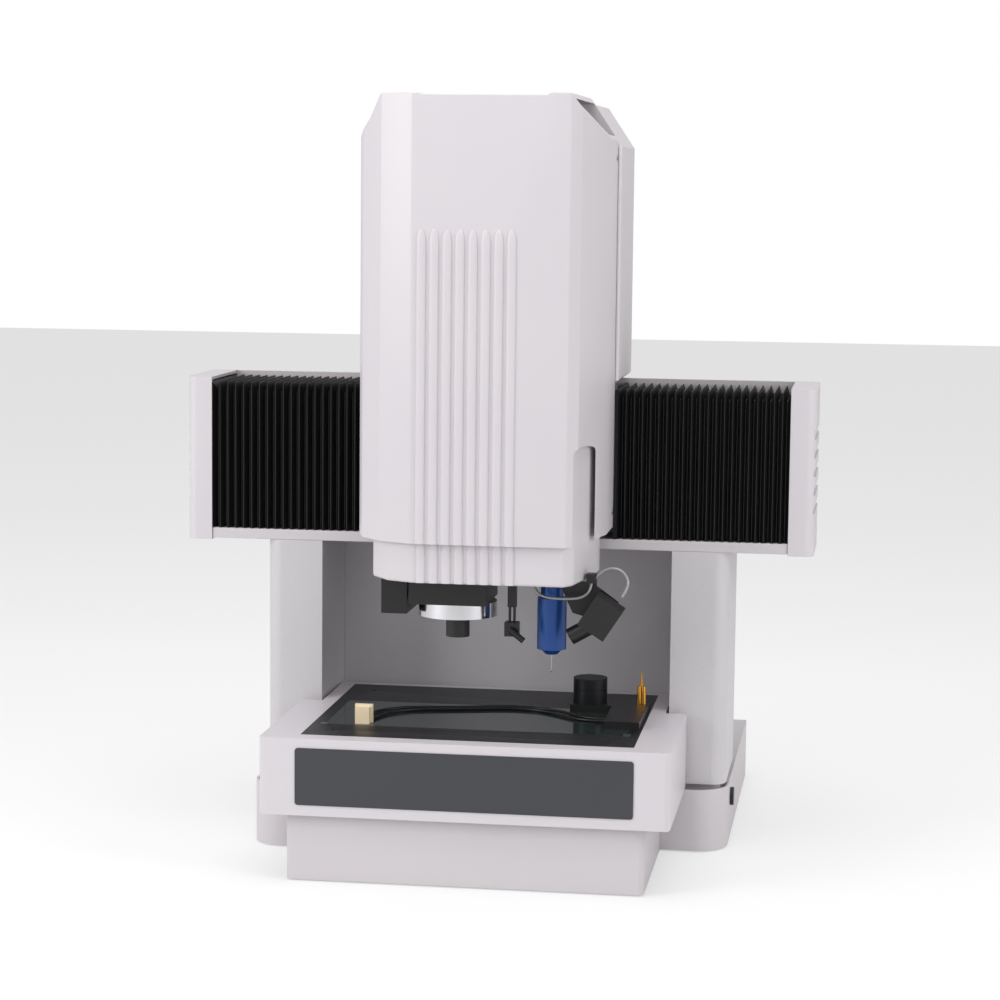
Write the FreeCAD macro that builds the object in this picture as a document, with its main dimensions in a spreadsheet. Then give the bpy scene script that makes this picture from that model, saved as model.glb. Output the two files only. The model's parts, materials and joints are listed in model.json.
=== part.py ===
import FreeCAD, Part
import math
import os
import sys
from types import SimpleNamespace

import Sketcher

# Bench-top bridge coordinate measuring machine.
# +X right, +Y back, +Z up; the origin is on the floor under the middle of the machine at rest.
# Depths are counted backwards from the front face of the table cover.

Vector = FreeCAD.Vector
doc = FreeCAD.newDocument("MeasuringMachine")
sheet = doc.addObject("Spreadsheet::Sheet", "Dims")

SIZES = {
    # whole machine
    "overallDepth": (751, "front of the table cover to the back of the rear cover"),
    "slideGap": (0.25, "clearance between a guide rail and its block"),
    "shaftGap": (0.05, "radial clearance of a shaft in its bore"),
    # base
    "footHeight": (12, "levelling foot, floor to casting"),
    "footRadius": (28, "levelling foot"),
    "footStemRadius": (9, "levelling foot stem"),
    "footPadHeight": (8, "levelling foot pad"),
    "footFrontSpread": (190, "front feet from the middle"),
    "footBackSpread": (262, "back feet from the middle"),
    "footFrontPlace": (62, "front feet behind the front"),
    "footBackInset": (61, "back feet in front of the back"),
    "sheetWall": (3, "sheet metal covers of the base"),
    "frontBoxHalf": (232, "half width of the front base cover"),
    "frontBoxFront": (15, "front face of the front base cover"),
    "frontBoxRound": (8, "upright corners of the front base cover"),
    "coverLift": (2, "lower edge of the base covers above the floor"),
    "deckHeight": (86, "top of the base casting deck and of its covers"),
    "bedHalf": (184, "half width of the raised rail bed"),
    "bedHeight": (105, "top of the raised rail bed"),
    "bedFront": (25, "front end of the rail bed"),
    "bedBack": (560, "back end of the rail bed"),
    "troughHalf": (32, "half width of the screw trough in the bed"),
    "troughFloor": (90, "floor of the screw trough"),
    "castWall": (26, "walls of the base casting"),
    "castRoof": (24, "deck thickness of the base casting"),
    "sideHalf": (321, "outer face of the base side covers"),
    "sideFrontRight": (256, "front face of the right side cover"),
    "sideFrontLeft": (183, "front face of the left side cover"),
    "sideRound": (46, "plan rounding of the side covers"),
    "rearHousingHalf": (236, "half width of the rear housing"),
    "rearHousingFront": (484, "front edge of the rear housing"),
    "rearHousingTop": (186, "top of the rear housing"),
    "ventWidth": (5, "vent slots of the rear housing"),
    "ventHeight": (46, "vent slots of the rear housing"),
    "ventPitch": (12, "vent slots of the rear housing"),
    "ventCount": (9, "vent slots of the rear housing"),
    "plugRadius": (12.5, "round plug in the right side cover"),
    "plugHeight": (60, "round plug above the floor"),
    "plugPlace": (345, "round plug behind the front"),
    "plugProud": (5, "round plug, how far it stands out"),
    # columns and the wall between them
    "columnInner": (240, "inner face of a column from the middle"),
    "columnOuter": (318, "outer face of a column from the middle"),
    "columnFront": (272, "front face of the columns"),
    "columnBack": (467, "back face of the columns"),
    "columnFoot": (91, "lower end of the columns"),
    "columnTop": (409, "upper end of the columns"),
    "columnRound": (22, "upright corners of a column"),
    "columnWall": (14, "cast wall of a column"),
    "padInset": (8, "column pad set in from the column faces"),
    "panelPlace": (425, "front face of the rear panel"),
    "panelFoot": (172, "lower edge of the rear panel"),
    # beam
    "beamHalf": (395, "half length of the beam between its end caps"),
    "railPlateHeight": (14, "bottom rail of the beam"),
    "bellowsFront": (272, "front of the bellows and of the bottom rail"),
    "bellowsBack": (413, "back of the bellows"),
    "bellowsTop": (625, "top of the bellows"),
    "pleatDepth": (12, "bellows pleats"),
    "pleatSkin": (1.5, "bellows skin"),
    "pleatCount": (21, "bellows pleats on each side"),
    "bellowsGap": (0.5, "bellows above the bottom rail"),
    "crossFront": (330, "front face of the crossbeam"),
    "crossBack": (395, "back face of the crossbeam"),
    "crossTop": (600, "top of the crossbeam"),
    "crossWall": (10, "wall of the hollow crossbeam"),
    "beamCoverFront": (416, "beam rear cover, inner face"),
    "capFoot": (407, "lower end of the end caps"),
    "capTop": (631, "upper end of the end caps"),
    "capFront": (270, "front face of the end caps"),
    "capWide": (34.5, "end cap, how far it stands out from the beam"),
    "capWall": (4, "moulded wall of the end caps"),
    "capRound": (13, "rounding of the end caps"),
    "gripWidth": (11, "finger notch in an end cap"),
    "gripDepth": (2.4, "finger notch in an end cap"),
    "gripPitch": (25, "finger notches"),
    "gripCount": (5, "finger notches"),
    # guide rails, blocks and ball screws
    "railWidth": (20, "guide rail"),
    "railHeight": (17.5, "guide rail"),
    "blockWidth": (44, "guide block"),
    "blockLength": (70, "guide block"),
    "blockHeight": (30, "rail seat to block face"),
    "blockLift": (5, "rail seat to block skirt"),
    "railMargin": (30, "rail end to the end of its bed"),
    "screwRadius": (8, "ball screw"),
    "nutRadius": (13, "ball nut barrel"),
    "nutLength": (44, "ball nut"),
    "nutHalf": (20, "ball nut housing half width"),
    "bearingLength": (20, "screw bearing block"),
    "bearingHalf": (19, "screw bearing block half width"),
    "motorHalf": (20, "axis motor half width"),
    "motorLength": (52, "axis motor"),
    "motorGap": (0.4, "screw end to motor face"),
    "yRailSpread": (150, "Y rails from the middle"),
    "yRailFront": (30, "front end of the Y rails"),
    "yRailBack": (500, "back end of the Y rails"),
    "yScrewHeight": (112, "Y screw axis"),
    "yBlockFront": (258, "front Y blocks, middle"),
    "yBlockBack": (436, "back Y blocks, middle"),
    "yNutPlace": (340, "Y nut, middle"),
    "xRailLow": (458, "lower X rail"),
    "xRailHigh": (566, "upper X rail"),
    "xBlockSpread": (100, "X blocks from the middle"),
    "xScrewDepth": (309, "X screw axis behind the front"),
    "zRailSpread": (72, "Z rails from the middle"),
    "zRailLow": (450, "lower end of the Z rails"),
    "zRailHigh": (922, "upper end of the Z rails"),
    "zBlockLow": (560, "lower Z blocks, middle"),
    "zBlockHigh": (745, "upper Z blocks, middle"),
    "zNutPlace": (655, "Z nut, middle"),
    # work table
    "tableTop": (190, "top of the table cover and the glass"),
    "tableFoot": (89.5, "lower edge of the table cover"),
    "tableHalf": (265, "half width of the table cover, front part"),
    "tableShoulder": (258, "back end of the wide part of the table cover"),
    "tableNarrow": (236, "half width of the table cover, back part"),
    "tableBack": (397, "back face of the table cover"),
    "tableWall": (4, "moulded wall of the table cover"),
    "tableRound": (9, "rounding of the table cover"),
    "openHalf": (216, "half width of the table opening"),
    "openFront": (27, "front edge of the table opening"),
    "openBack": (383, "back edge of the table opening"),
    "plateHeight": (25, "machined table plate"),
    "plateHalf": (216, "half width of the table plate"),
    "plateBack": (470, "back end of the table plate"),
    "plateNeck": (200, "half width of the table plate behind the cover"),
    "glassHalf": (199.5, "half width of the glass"),
    "glassFront": (100, "front edge of the glass"),
    "glassBack": (264, "back edge of the glass"),
    "glassThick": (10, "glass plate"),
    "glassLedge": (10, "ledge that carries the glass"),
    "lightThick": (8, "backlight panel"),
    "fixtureHoleRadius": (2.5, "tapped fixture holes of the table frame"),
    "fixtureHoleDepth": (14, "tapped fixture holes of the table frame"),
    "fixtureHoleSpread": (180, "fixture holes from the middle"),
    "fixtureHoleFront": (60, "front fixture holes"),
    "fixtureHoleBack": (340, "back fixture holes"),
    "namePlateHalf": (217.8, "half length of the name plate"),
    "namePlateHeight": (74.4, "name plate"),
    "namePlateDrop": (12, "name plate below the table top"),
    "namePlateShift": (0.8, "middle of the name plate, right of the middle"),
    "namePlateThick": (1.2, "name plate"),
    "namePlateRound": (4, "name plate corners"),
    "clipSize": (9, "glass corner clip"),
    "clipThick": (1.2, "glass corner clip"),
    # pieces on the table
    "rackInner": (165, "inner face of the module rack"),
    "rackOuter": (212, "outer face of the module rack"),
    "rackFront": (138, "front end of the module rack"),
    "rackBack": (302, "back end of the module rack"),
    "rackThick": (10, "module rack"),
    "rackArmInner": (108, "inner end of the rack arm"),
    "moduleX": (133, "probe module, middle"),
    "moduleDepth": (267, "probe module behind the front"),
    "moduleRadius": (23, "probe module"),
    "moduleTall": (34, "probe module"),
    "moduleGroove": (1, "groove round the probe module"),
    "postX": (203, "reference pins, middle"),
    "postDepth": (262, "reference pins behind the front"),
    "postPinRadius": (3, "reference pin"),
    "postPinTall": (25, "reference pin"),
    "postTipTall": (19, "fine tip of the reference pins"),
    "calBlockX": (-151, "calibration block, middle"),
    "calBlockDepth": (108, "calibration block behind the front"),
    "calBlockWide": (19, "calibration block"),
    "calBlockDeep": (12, "calibration block"),
    "calBlockTall": (21.6, "calibration block"),
    "calHolder": (2.5, "border of the calibration block holder"),
    "tableCableRadius": (2, "cables on the table"),
    # carriage and head covers
    "carriageLeft": (-158, "left edge of the carriage plate"),
    "carriageRight": (160, "right edge of the carriage plate"),
    "carriageFront": (266, "front face of the carriage plate"),
    "carriageFoot": (445, "lower end of the carriage plate"),
    "carriageTop": (925, "upper end of the carriage plate"),
    "flangeThick": (4, "bellows end flange"),
    "headFront": (40, "front plane of the head cover"),
    "headFoot": (440, "lower end of the head cover"),
    "headTop": (1011, "top of the machine"),
    "headWall": (4, "moulded wall of the head cover"),
    "headEdgeRound": (6, "front edges of the head cover"),
    "headFlatLeft": (-77.5, "front flat of the head cover, left edge"),
    "headFlatRight": (124, "front flat of the head cover, right edge"),
    "headBevelRight": (136, "end of the narrow right bevel"),
    "headBevelLeft": (-120, "end of the narrow left bevel"),
    "headBevelDepth": (19, "depth of the narrow bevels"),
    "headKneeLeft": (-150, "knee of the left bevel"),
    "headKneeDepth": (55, "depth of the left knee"),
    "headSideDepthLeft": (80, "depth where the left side begins"),
    "headSideDepthRight": (145, "depth where the right side begins"),
    "cornerWide": (37, "top corner cuts of the head, width"),
    "cornerTall": (55, "top corner cuts of the head, height"),
    "cornerKneeWide": (20, "knee of the left corner cut, width"),
    "cornerKneeTall": (24, "knee of the left corner cut, height"),
    "ribFirst": (-64.3, "middle of the leftmost rib"),
    "ribPitch": (16.45, "head ribs"),
    "ribCount": (8, "head ribs"),
    "ribWidth": (11.5, "head ribs"),
    "ribProud": (3, "head ribs"),
    "ribTop": (840, "upper end of the ribs"),
    "archLeft": (131, "left edge of the camera slot"),
    "archRight": (150, "right edge of the camera slot"),
    "archTop": (566, "top of the camera slot"),
    "archRound": (7, "corner cuts of the camera slot"),
    "rearCoverBack": (440, "back face of the head rear cover"),
    "rearCoverFoot": (636, "lower edge of the head rear cover"),
    "rearCoverTop": (1003, "top of the head rear cover"),
    "rearCoverWall": (5, "wall of the head rear cover"),
    "screwHeadRadius": (3.5, "small cover screws"),
    "screwHeadProud": (1.5, "small cover screws"),
    "coverScrewDrop": (78, "upper cover screw below the top of the head cover"),
    "coverScrewLift": (23, "lower cover screw above the foot of the head cover"),
    "coverScrewInset": (16, "cover screws in from the back edge of the head cover"),
    "zBracketThick": (8, "bracket under the Z motor"),
    # ram and what it carries
    "coverGap": (6, "inner cover inside the head cover"),
    "innerFoot": (388, "lower edge of the inner cover"),
    "innerTop": (640, "upper edge of the inner cover"),
    "innerWall": (3, "wall of the inner cover"),
    "innerLeft": (-136, "left side of the inner cover"),
    "innerRight": (149, "right side of the inner cover"),
    "innerFlatLeft": (-76, "front flat of the inner cover, left edge"),
    "innerFlatRight": (121, "front flat of the inner cover, right edge"),
    "innerBevelRight": (131, "end of the narrow right bevel of the inner cover"),
    "innerBevelLeft": (-112, "end of the narrow left bevel of the inner cover"),
    "innerBevelDepth": (16, "depth of the narrow bevels of the inner cover"),
    "innerSideDepthLeft": (50, "depth where the inner cover's left side begins"),
    "innerSideDepthRight": (120, "depth where the inner cover's right side begins"),
    "plateNoseLeft": (-72, "front part of the head plate, left edge"),
    "plateNoseRight": (116, "front part of the head plate, right edge"),
    "ramHalf": (95, "half width of the ram"),
    "ramThick": (20, "ram plate"),
    "ramTop": (782, "upper end of the ram"),
    "headPlateLift": (4, "underside of the head plate above the edge of the inner cover"),
    "headPlateThick": (10, "head plate"),
    "opticX": (-30, "optical axis, right of the middle"),
    "opticDepth": (143, "optical axis behind the front"),
    "housingLeft": (-87, "optics housing, left face"),
    "housingRight": (14, "optics housing, right face"),
    "housingFront": (92, "optics housing, front face"),
    "housingBack": (200, "optics housing, back face"),
    "housingTall": (38, "optics housing, below the head plate"),
    "ringRadius": (51.5, "ring light"),
    "ringBore": (30, "bore of the ring light"),
    "ringThick": (19, "ring light"),
    "objectiveRadius": (15.5, "objective"),
    "objectiveTall": (24, "straight front part of the objective"),
    "objectiveLong": (48, "objective, below the optics housing"),
    "objectiveRoot": (26, "objective where it meets the housing"),
    "tubeRadius": (24, "zoom tube over the housing"),
    "tubeTall": (168, "zoom tube, above the underside of the head plate"),
    "lampX": (45.5, "spot lamp post, middle"),
    "lampDepth": (118, "spot lamp post behind the front"),
    "lampPostHalf": (5.5, "spot lamp post"),
    "lampPostTall": (41, "spot lamp post, below the head plate"),
    "lampArmRadius": (1.8, "flexible lamp arms"),
    "lampPivotDrop": (70, "lamp pivot below the head plate"),
    "lampClampHalf": (9, "lamp clamp"),
    "lampPinRadius": (3, "lamp pivot pin"),
    "lampBarrelRadius": (4, "lamp barrel"),
    "lampBarrelLength": (22, "lamp barrel"),
    "lampDroop": (38, "lamp barrel below the level, degrees"),
    "sideBlockLeft": (-127, "laser block, left face"),
    "sideBlockRight": (-93, "laser block, right face"),
    "sideBlockTall": (54, "laser block, below the head plate"),
    "sideBlockFront": (112, "laser block, front face"),
    "sideBlockBack": (190, "laser block, back face"),
    "probeX": (95, "probe axis, right of the middle"),
    "probeDepth": (140, "probe axis behind the front"),
    "probeRadius": (19.25, "probe body"),
    "probeTall": (68, "probe body"),
    "probeNeckTall": (30, "probe mounting neck"),
    "probeNeckRadius": (15, "probe mounting neck"),
    "noseRadius": (15, "probe nose, top"),
    "noseTip": (8, "probe nose, bottom"),
    "noseTall": (7, "probe nose"),
    "stylusRadius": (0.8, "stylus stem"),
    "stylusTall": (23, "stylus below the nose"),
    "stylusBall": (1.5, "stylus ball"),
    "cameraX": (164, "camera body, middle"),
    "cameraDepth": (102, "camera body behind the front"),
    "cameraDrop": (47, "camera body, middle, below the head plate"),
    "cameraWide": (40, "camera body"),
    "cameraDeep": (40, "camera body"),
    "cameraLong": (46, "camera body"),
    "cameraTilt": (33, "camera axis from the vertical, degrees"),
    "bracketThick": (5, "camera bracket"),
    "bracketSlope": (10, "camera bracket, lower edge below the cable clip"),
    "lensX": (150, "camera lens root, right of the middle"),
    "lensDrop": (60, "camera lens root, below the head plate"),
    "lensRadius": (11, "camera lens"),
    "lensLong": (30, "camera lens"),
    "lensDroop": (30, "camera lens below the level, degrees"),
    "cableClipDrop": (6, "cable clip, lower end below the head plate"),
    "cableClipSize": (12, "cable clip beside the inner cover"),
    "headCableRadius": (1.8, "camera cables"),
}


class Size:
    """A length worked out from the sheet: the expression that binds it, and its number."""

    def __init__(self, text, number):
        self.text = text
        self.number = number

    def join(self, sign, other, number):
        return Size(f"({self.text} {sign} {other.text})", number)

    def __add__(self, other):
        other = asSize(other)
        return self.join("+", other, self.number + other.number)

    def __sub__(self, other):
        other = asSize(other)
        return self.join("-", other, self.number - other.number)

    def __mul__(self, other):
        other = asSize(other)
        return self.join("*", other, self.number * other.number)

    def __truediv__(self, other):
        other = asSize(other)
        return self.join("/", other, self.number / other.number)

    def __neg__(self):
        return Size(f"(0 - {self.text})", -self.number)

    def __radd__(self, other):
        return asSize(other) + self

    def __rsub__(self, other):
        return asSize(other) - self

    def __rmul__(self, other):
        return asSize(other) * self


def asSize(value):
    return value if isinstance(value, Size) else Size(repr(float(value)), float(value))


s = SimpleNamespace()
for row, (name, (number, note)) in enumerate(SIZES.items(), 1):
    sheet.set(f"A{row}", note)
    sheet.set(f"B{row}", str(number))
    sheet.setAlias(f"B{row}", name)
    setattr(s, name, Size(f"Dims.{name}", float(number)))
doc.recompute()

front = -(s.overallDepth - s.namePlateThick) / 2
nodes = []


def depth(size):
    """A depth behind the front face as a Y position."""
    return front + size


def bind(piece, prop, size):
    piece.setExpression(prop, asSize(size).text)


def place(piece, *point):
    for axis, size in zip("xyz", point):
        bind(piece, f"Placement.Base.{axis}", size)


def keep(piece, label):
    """Marks a finished sub-part: its Label is its file name."""
    piece.Label = label
    nodes.append(piece)
    return piece


# ---- primitives ----------------------------------------------------------------------------


def box(name, x, y, z):
    piece = doc.addObject("Part::Box", name)
    for prop, (low, high) in zip(("Length", "Width", "Height"), (x, y, z)):
        bind(piece, prop, asSize(high) - low)
    place(piece, x[0], y[0], z[0])
    return piece


TURNS = {
    "X": FreeCAD.Rotation(Vector(0, 1, 0), 90),
    "Y": FreeCAD.Rotation(Vector(1, 0, 0), -90),
    "Z": FreeCAD.Rotation(),
}


def rod(name, along, radius, start, length):
    """A cylinder from the point start, along an axis."""
    piece = doc.addObject("Part::Cylinder", name)
    bind(piece, "Radius", radius)
    bind(piece, "Height", length)
    piece.Placement = FreeCAD.Placement(Vector(), TURNS[along])
    place(piece, *start)
    return piece


def cone(name, low, high, start, length):
    piece = doc.addObject("Part::Cone", name)
    bind(piece, "Radius1", low)
    bind(piece, "Radius2", high)
    bind(piece, "Height", length)
    place(piece, *start)
    return piece


def fuse(name, *pieces):
    piece = doc.addObject("Part::MultiFuse", name)
    piece.Shapes = list(pieces)
    return piece


def cut(name, base, *tools):
    piece = doc.addObject("Part::Cut", name)
    piece.Base = base
    piece.Tool = tools[0] if len(tools) == 1 else fuse(name + "Tools", *tools)
    return piece


def group(name, *pieces):
    """Separate solids that share one node."""
    piece = doc.addObject("Part::Compound", name)
    piece.Links = list(pieces)
    return piece


# ---- bodies with sketches ------------------------------------------------------------------

# A pad or pocket runs along its plane's normal: up from XY, towards the front from XZ,
# to the right from YZ. The lift is the plane's distance from the origin.
NORMALS = {"XY": 1, "XZ": -1, "YZ": 1}


def newBody(name):
    return doc.addObject("PartDesign::Body", name)


def outline(body, plane, lift, points):
    """A closed polygon whose corners are bound to the sheet."""
    sketch = body.newObject("Sketcher::SketchObject", body.Name + "Sketch")
    support = [f for f in body.Origin.OriginFeatures if f.Role == plane + "_Plane"]
    sketch.AttachmentSupport = [(support[0], "")]
    sketch.MapMode = "FlatFace"
    bind(sketch, "AttachmentOffset.Base.z", NORMALS[plane] * asSize(lift))
    points = [(asSize(u), asSize(v)) for u, v in points]
    corners = [Vector(u.number, v.number, 0) for u, v in points]
    count = len(corners)
    for i in range(count):
        sketch.addGeometry(Part.LineSegment(corners[i], corners[(i + 1) % count]))
    for i in range(count):
        sketch.addConstraint(Sketcher.Constraint("Coincident", i, 2, (i + 1) % count, 1))
    for i, (u, v) in enumerate(points):
        for kind, size in (("DistanceX", u), ("DistanceY", v)):
            index = sketch.addConstraint(Sketcher.Constraint(kind, -1, 1, i, 1, size.number))
            sketch.setExpression(f"Constraints[{index}]", size.text)
    return sketch


def rectangle(low, high):
    return [(low[0], low[1]), (high[0], low[1]), (high[0], high[1]), (low[0], high[1])]


def extrude(body, kind, sketch, length):
    feature = body.newObject("PartDesign::" + kind, body.Name + kind)
    feature.Profile = sketch
    bind(feature, "Length", length)
    feature.Reversed = kind == "Pocket"
    sketch.Visibility = False
    body.Tip = feature
    return feature


def pad(body, plane, lift, length, points):
    return extrude(body, "Pad", outline(body, plane, lift, points), length)


def pocket(body, plane, lift, length, points):
    """Cuts, and stops the build if nothing came away."""
    doc.recompute()
    before = body.Shape.Volume
    feature = extrude(body, "Pocket", outline(body, plane, lift, points), length)
    doc.recompute()
    if body.Shape.Volume >= before:
        sys.exit(f"{body.Name}: a pocket cut nothing")
    return feature


def repeat(body, feature, axis, pitch, count):
    """Repeats a feature along an axis of its own body."""
    pattern = body.newObject("PartDesign::LinearPattern", body.Name + "Pattern")
    pattern.Originals = [feature]
    line = [f for f in body.Origin.OriginFeatures if f.Role == axis + "_Axis"]
    pattern.Direction = (line[0], [""])
    bind(pattern, "Length", pitch * (count - 1))
    bind(pattern, "Occurrences", count)
    body.Tip = pattern
    return pattern


def pick(items, kind, test):
    return [f"{kind}{i + 1}" for i, item in enumerate(items) if test(item)]


def dress(body, kind, prop, size, names):
    base = body.Tip
    feature = body.newObject("PartDesign::" + kind, body.Name + kind)
    feature.Base = (base, names)
    bind(feature, prop, size)
    body.Tip = feature
    return feature


def roundEdges(body, radius, test):
    doc.recompute()
    base = body.Tip
    names = pick(base.Shape.Edges, "Edge", test)
    if not names:
        sys.exit(f"{body.Name}: no edge to round")
    return dress(body, "Fillet", "Radius", radius, names)


def hollow(body, wall, test):
    """Shells the body inwards, open at the faces that the test picks."""
    doc.recompute()
    names = pick(body.Tip.Shape.Faces, "Face", test)
    if not names:
        sys.exit(f"{body.Name}: no face to open")
    feature = dress(body, "Thickness", "Value", wall, names)
    feature.Join = 1
    feature.Reversed = True
    return feature


def near(value, size, slack=0.01):
    return abs(value - asSize(size).number) < slack


def runsAlong(edge, axis):
    """True for a straight edge along an axis."""
    if edge.Curve.TypeId != "Part::GeomLine":
        return False
    direction = edge.tangentAt(edge.FirstParameter)
    return abs(abs(getattr(direction, axis)) - 1) < 1e-6


def uprightAt(*corners):
    """A test for upright edges that stand at the given plan corners."""
    def test(edge):
        if not runsAlong(edge, "z"):
            return False
        middle = edge.CenterOfMass
        return any(near(middle.x, x) and near(middle.y, y) for x, y in corners)
    return test


def faceAt(**place):
    """A test for flat faces whose centre has the given coordinate."""
    def test(face):
        for axis, size in place.items():
            bounds = face.BoundBox
            low = getattr(bounds, axis.upper() + "Min")
            high = getattr(bounds, axis.upper() + "Max")
            if not (near(low, size) and near(high, size)):
                return False
        return True
    return test


# ---- base ----------------------------------------------------------------------------------

FOOT_PLACES = [
    (-s.footFrontSpread, s.footFrontPlace),
    (s.footFrontSpread, s.footFrontPlace),
    (-s.footBackSpread, s.overallDepth - s.footBackInset),
    (s.footBackSpread, s.overallDepth - s.footBackInset),
]
feet = []
for corner, (x, y) in enumerate(FOOT_PLACES):
    disc = rod(f"FootPad{corner}", "Z", s.footRadius, (x, depth(y), 0), s.footPadHeight)
    stem = rod(f"FootStem{corner}", "Z", s.footStemRadius, (x, depth(y), 0), s.footHeight)
    feet.append(fuse(f"Foot{corner}", disc, stem))
keep(group("LevellingFeet", *feet), "levelling_feet")

castFrontHalf = s.frontBoxHalf - s.sheetWall
castFront = depth(s.frontBoxFront + s.sheetWall)
castSide = s.sideHalf - s.sheetWall
castBack = depth(s.overallDepth - s.sheetWall)
castShoulder = depth(s.columnFront)


def baseCasting():
    body = newBody("BaseCasting")
    plan = [
        (-castFrontHalf, castFront),
        (castFrontHalf, castFront),
        (castFrontHalf, castShoulder),
        (castSide, castShoulder + s.sideRound),
        (castSide, castBack),
        (-castSide, castBack),
        (-castSide, castShoulder + s.sideRound),
        (-castFrontHalf, castShoulder),
    ]
    pad(body, "XY", s.footHeight, s.deckHeight - s.footHeight, plan)
    corners = [(-castFrontHalf, castFront), (castFrontHalf, castFront)]
    roundEdges(body, s.frontBoxRound, uprightAt(*corners))
    bedLow = (-s.bedHalf, depth(s.bedFront))
    bedHigh = (s.bedHalf, depth(s.bedBack))
    pad(body, "XY", s.footHeight, s.bedHeight - s.footHeight, rectangle(bedLow, bedHigh))
    troughLow = (-s.troughHalf, depth(s.bedFront) - 1)
    troughHigh = (s.troughHalf, depth(s.bedBack) + 1)
    pocket(body, "XY", s.troughFloor, s.bedHeight, rectangle(troughLow, troughHigh))
    padLow = castShoulder + s.padInset
    padHigh = depth(s.columnBack) - s.padInset
    for side in (-1, 1):
        inner = side * (s.columnInner + s.padInset)
        outer = side * (s.columnOuter - s.padInset)
        seat = rectangle((inner, padLow), (outer, padHigh))
        pad(body, "XY", s.footHeight, s.columnFoot - s.footHeight, seat)
    chamber = s.deckHeight - s.castRoof - s.footHeight
    frontLow = (-castFrontHalf + s.castWall, castFront + s.castWall)
    frontHigh = (castFrontHalf - s.castWall, castShoulder)
    pocket(body, "XY", s.footHeight, chamber, rectangle(frontLow, frontHigh))
    backLow = (-castSide + s.castWall, castShoulder + s.sideRound + s.castWall)
    backHigh = (castSide - s.castWall, castBack - s.castWall)
    pocket(body, "XY", s.footHeight, chamber, rectangle(backLow, backHigh))
    half = s.castWall
    for x, y in FOOT_PLACES:
        boss = rectangle((x - half, depth(y) - half), (x + half, depth(y) + half))
        pad(body, "XY", s.footHeight, s.deckHeight - s.footHeight, boss)
    return keep(body, "base_casting")


def baseFrontCover():
    body = newBody("BaseFrontCover")
    low = (-s.frontBoxHalf, depth(s.frontBoxFront))
    high = (s.frontBoxHalf, depth(s.sideFrontRight))
    pad(body, "XY", s.coverLift, s.deckHeight - s.coverLift, rectangle(low, high))
    corners = [low, (high[0], low[1])]
    roundEdges(body, s.frontBoxRound, uprightAt(*corners))
    inner = rectangle((-castFrontHalf, castFront), (castFrontHalf, high[1] + 1))
    pocket(body, "XY", 0, s.deckHeight + 1, inner)
    return keep(body, "base_front_cover")


def baseSideCover(side, frontPlace):
    """A sheet cover that wraps the front corner and the side of the base."""
    name = "Right" if side > 0 else "Left"
    body = newBody("BaseSideCover" + name)
    start = depth(frontPlace)
    inner = side * s.frontBoxHalf
    outer = side * s.sideHalf
    end = depth(s.overallDepth - s.sheetWall)
    pad(body, "XY", s.coverLift, s.deckHeight - s.coverLift, rectangle((inner, start), (outer, end)))
    roundEdges(body, s.sideRound, uprightAt((outer, start)))
    hollow(body, s.sheetWall, lambda face: (
        faceAt(z=s.coverLift)(face) or faceAt(z=s.deckHeight)(face)
        or faceAt(x=inner)(face) or faceAt(y=end)(face)))
    return keep(body, "base_side_cover_" + name.lower())


def baseRearCover():
    """The rear housing over the drive end, with a lip that closes the back of the base."""
    body = newBody("BaseRearCover")
    back = depth(s.overallDepth)
    top = s.rearHousingTop
    low = (-s.rearHousingHalf, depth(s.rearHousingFront))
    high = (s.rearHousingHalf, back)
    pad(body, "XY", s.deckHeight, top - s.deckHeight, rectangle(low, high))
    hollow(body, s.sheetWall, lambda face: (
        faceAt(z=s.deckHeight)(face) or faceAt(y=depth(s.rearHousingFront))(face)))
    lip = rectangle((-s.sideHalf, s.coverLift), (s.sideHalf, s.deckHeight))
    pad(body, "XZ", back, s.sheetWall, lip)
    ventLow = (-s.ventPitch * (s.ventCount - 1) / 2 - s.ventWidth / 2, top - s.ventHeight * 1.5)
    ventHigh = (ventLow[0] + s.ventWidth, ventLow[1] + s.ventHeight)
    vent = pocket(body, "XZ", back + 1, s.sheetWall + 2, rectangle(ventLow, ventHigh))
    repeat(body, vent, "X", s.ventPitch, s.ventCount)
    return keep(body, "base_rear_cover")


baseCasting()
baseFrontCover()
baseSideCover(-1, s.sideFrontLeft)
baseSideCover(1, s.sideFrontRight)
baseRearCover()
keep(rod("SidePlug", "X", s.plugRadius, (s.sideHalf, depth(s.plugPlace), s.plugHeight), s.plugProud),
     "side_plug")

# ---- columns and rear panel ----------------------------------------------------------------


def column(side):
    name = "Right" if side > 0 else "Left"
    body = newBody("Column" + name)
    low = (side * s.columnInner, depth(s.columnFront))
    high = (side * s.columnOuter, depth(s.columnBack))
    pad(body, "XY", s.columnFoot, s.columnTop - s.columnFoot, rectangle(low, high))
    corners = [(high[0], low[1]), (high[0], high[1])]
    roundEdges(body, s.columnRound, uprightAt(*corners))
    inLow = (low[0] + side * s.columnWall, low[1] + s.columnWall)
    inHigh = (high[0] - side * s.columnWall, high[1] - s.columnWall)
    chamber = s.columnTop - s.columnFoot - s.columnWall
    pocket(body, "XY", s.columnFoot, chamber, rectangle(inLow, inHigh))
    return keep(body, "column_" + name.lower())


column(-1)
column(1)
panelDepth = depth(s.panelPlace)
keep(box("RearPanel", (-s.columnInner, s.columnInner), (panelDepth, panelDepth + s.sheetWall),
         (s.panelFoot, s.columnTop)), "rear_panel")

# ---- beam ----------------------------------------------------------------------------------

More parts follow.
